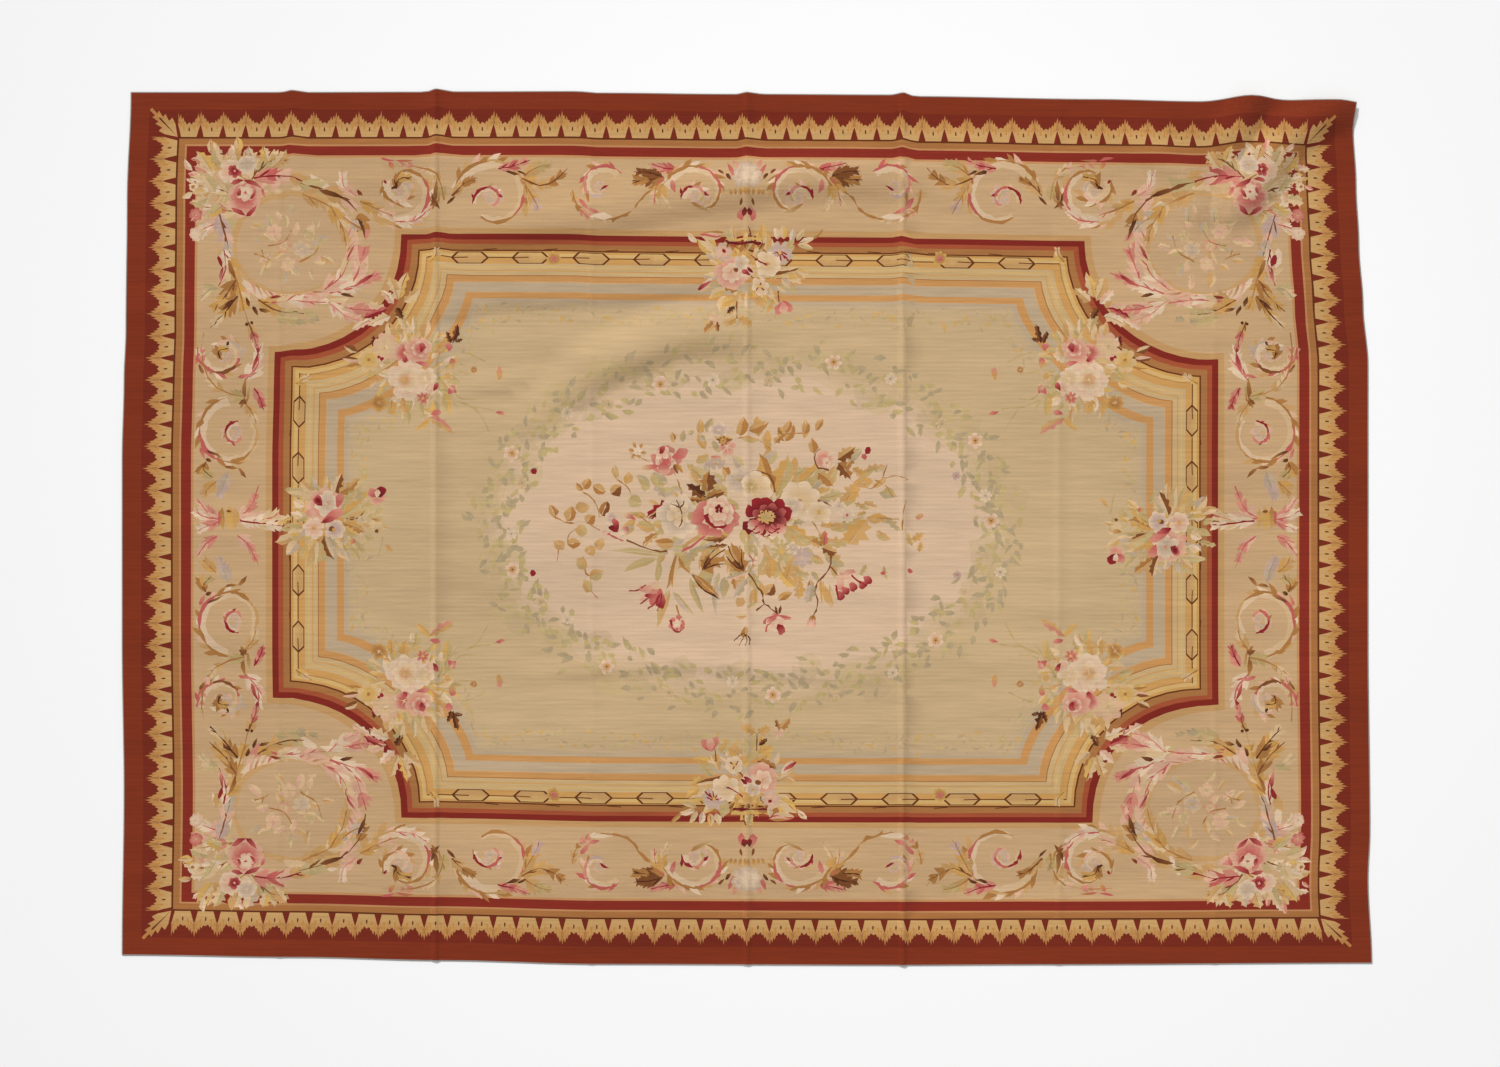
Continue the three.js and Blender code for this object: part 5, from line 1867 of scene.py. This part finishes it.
def dyed(tree, place):
    """The woven colours, uneven in each of the ways above."""
    dye = tree.nodes.new("ShaderNodeAttribute")
    dye.attribute_name = "wool"
    brightness = 1.0
    for turns, octaves, amount in UNEVENNESS:
        patch = reckon(tree, "SUBTRACT", patches(tree, place, turns, octaves), 0.5)
        brightness = reckon(tree, "ADD", brightness, reckon(tree, "MULTIPLY", patch, 2 * amount))
    tinted = tree.nodes.new("ShaderNodeVectorMath")
    tinted.operation = "SCALE"
    tree.links.new(dye.outputs["Color"], tinted.inputs[0])
    tree.links.new(brightness, tinted.inputs["Scale"])
    return tinted.outputs["Vector"]


def ribbed(tree, place):
    """The relief of the weave: its fine ribs across the rug, and the picks of its weft."""
    ribs = tree.nodes.new("ShaderNodeTexWave")
    ribs.bands_direction = "Y"
    ribs.inputs["Scale"].default_value = 2 * math.pi / 20 / RIB_PITCH
    ribs.inputs["Distortion"].default_value = RIB_WANDER
    ribs.inputs["Detail Scale"].default_value = 2
    tree.links.new(place, ribs.inputs["Vector"])
    picks = reckon(tree, "MULTIPLY", patches(tree, place, PICK_TURNS, 3), PICK_WEIGHT)
    bump = tree.nodes.new("ShaderNodeBump")
    bump.inputs["Strength"].default_value = RELIEF
    bump.inputs["Distance"].default_value = RIB_HEIGHT
    tree.links.new(reckon(tree, "ADD", ribs.outputs["Fac"], picks), bump.inputs["Height"])
    return bump.outputs["Normal"]


def wool_material():
    """Dyed wool: the woven colours, uneven from pick to pick, with the fine ribs of a tapestry weave."""
    material = bpy.data.materials.new("woven_wool")
    material.use_nodes = True
    tree = material.node_tree
    place = tree.nodes.new("ShaderNodeTexCoord").outputs["Object"]
    rough = reckon(tree, "MULTIPLY", patches(tree, place, ROUGH_TURNS, 2), ROUGHNESS[1])
    shader = tree.nodes["Principled BSDF"]
    shader.inputs["Specular IOR Level"].default_value = WOOL_SHINE
    shader.inputs["Sheen Weight"].default_value = WOOL_FUZZ
    shader.inputs["Sheen Roughness"].default_value = FUZZ_ROUGHNESS
    tree.links.new(dyed(tree, place), shader.inputs["Base Color"])
    tree.links.new(reckon(tree, "ADD", rough, ROUGHNESS[0]), shader.inputs["Roughness"])
    tree.links.new(ribbed(tree, place), shader.inputs["Normal"])
    return material


def flat_area(outline):
    """The area inside an outline, in square metres."""
    following = np.roll(outline, -1)
    return abs((outline.conj() * following).imag.sum()) / 2 * MM * MM


PANEL_AREA = flat_area(framed(0))
panel, border = carpet_pieces()
wool_cloth = wool_material()
for piece in (panel, border):
    piece.data.materials.append(wool_cloth)
    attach(piece, "root")
    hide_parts("woven_carpet")


FLOOR_SIZE = 30.0
FLOOR_DROP = 0.0005  # the floor lies this far under the cloth, so that their faces don't fight
FLOOR_COLOUR = (0.97, 0.97, 0.97, 1)
FLOOR_ROUGHNESS = 0.9
SKY_STRENGTH = 0.39
SUN_STRENGTH = 2.5
SUN_SPREAD = math.radians(6)
SUN_WAY = Vector((1.0, -1.7, -1.5))  # it falls across the swags, from the far left
LAMP_WATTS = 20
LAMP_SIZE = 2.0
LAMP_PLACE = (0.3, 0.5, 3.4)


def studio():
    """A plain pale floor, an even sky, a low sun for the folds and a soft lamp over the middle."""
    bpy.ops.mesh.primitive_plane_add(size=FLOOR_SIZE, location=(0, 0, -FLOOR_DROP))
    floor = bpy.context.object
    floor.name = "floor"
    plain = bpy.data.materials.new("pale_floor")
    plain.use_nodes = True
    surface = plain.node_tree.nodes["Principled BSDF"]
    surface.inputs["Base Color"].default_value = FLOOR_COLOUR
    surface.inputs["Roughness"].default_value = FLOOR_ROUGHNESS
    floor.data.materials.append(plain)
    world = bpy.data.worlds.new("studio")
    bpy.context.scene.world = world
    world.use_nodes = True
    sky = world.node_tree.nodes["Background"]
    sky.inputs["Color"].default_value = (1, 1, 1, 1)
    sky.inputs["Strength"].default_value = SKY_STRENGTH
    sun = bpy.data.lights.new("daylight", "SUN")
    sun.energy = SUN_STRENGTH
    sun.angle = SUN_SPREAD
    set_out("daylight", sun).rotation_euler = SUN_WAY.to_track_quat("-Z", "Y").to_euler()
    soft = bpy.data.lights.new("overhead", "AREA")
    soft.energy = LAMP_WATTS
    soft.size = LAMP_SIZE
    set_out("overhead", soft).location = LAMP_PLACE
    bpy.context.scene.view_settings.view_transform = "Standard"


LENS = 50.0
SENSOR = 36.0
SIGHT = 100.0  # how far it sees, in metres


def camera():
    """Straight above the carpet, framed as in the photograph."""
    data = bpy.data.cameras.new("camera")
    data.lens = LENS
    data.sensor_width = SENSOR
    eye = set_out("camera", data)
    width = PHOTO_SIZE[0] * PIXEL * MM
    middle = complex(*PHOTO_SIZE) / 2 - PHOTO_MIDDLE
    eye.location = (middle.real * PIXEL * MM, -middle.imag * PIXEL * MM, width * LENS / SENSOR)
    data.clip_end = SIGHT
    bpy.context.scene.camera = eye


studio()
camera()
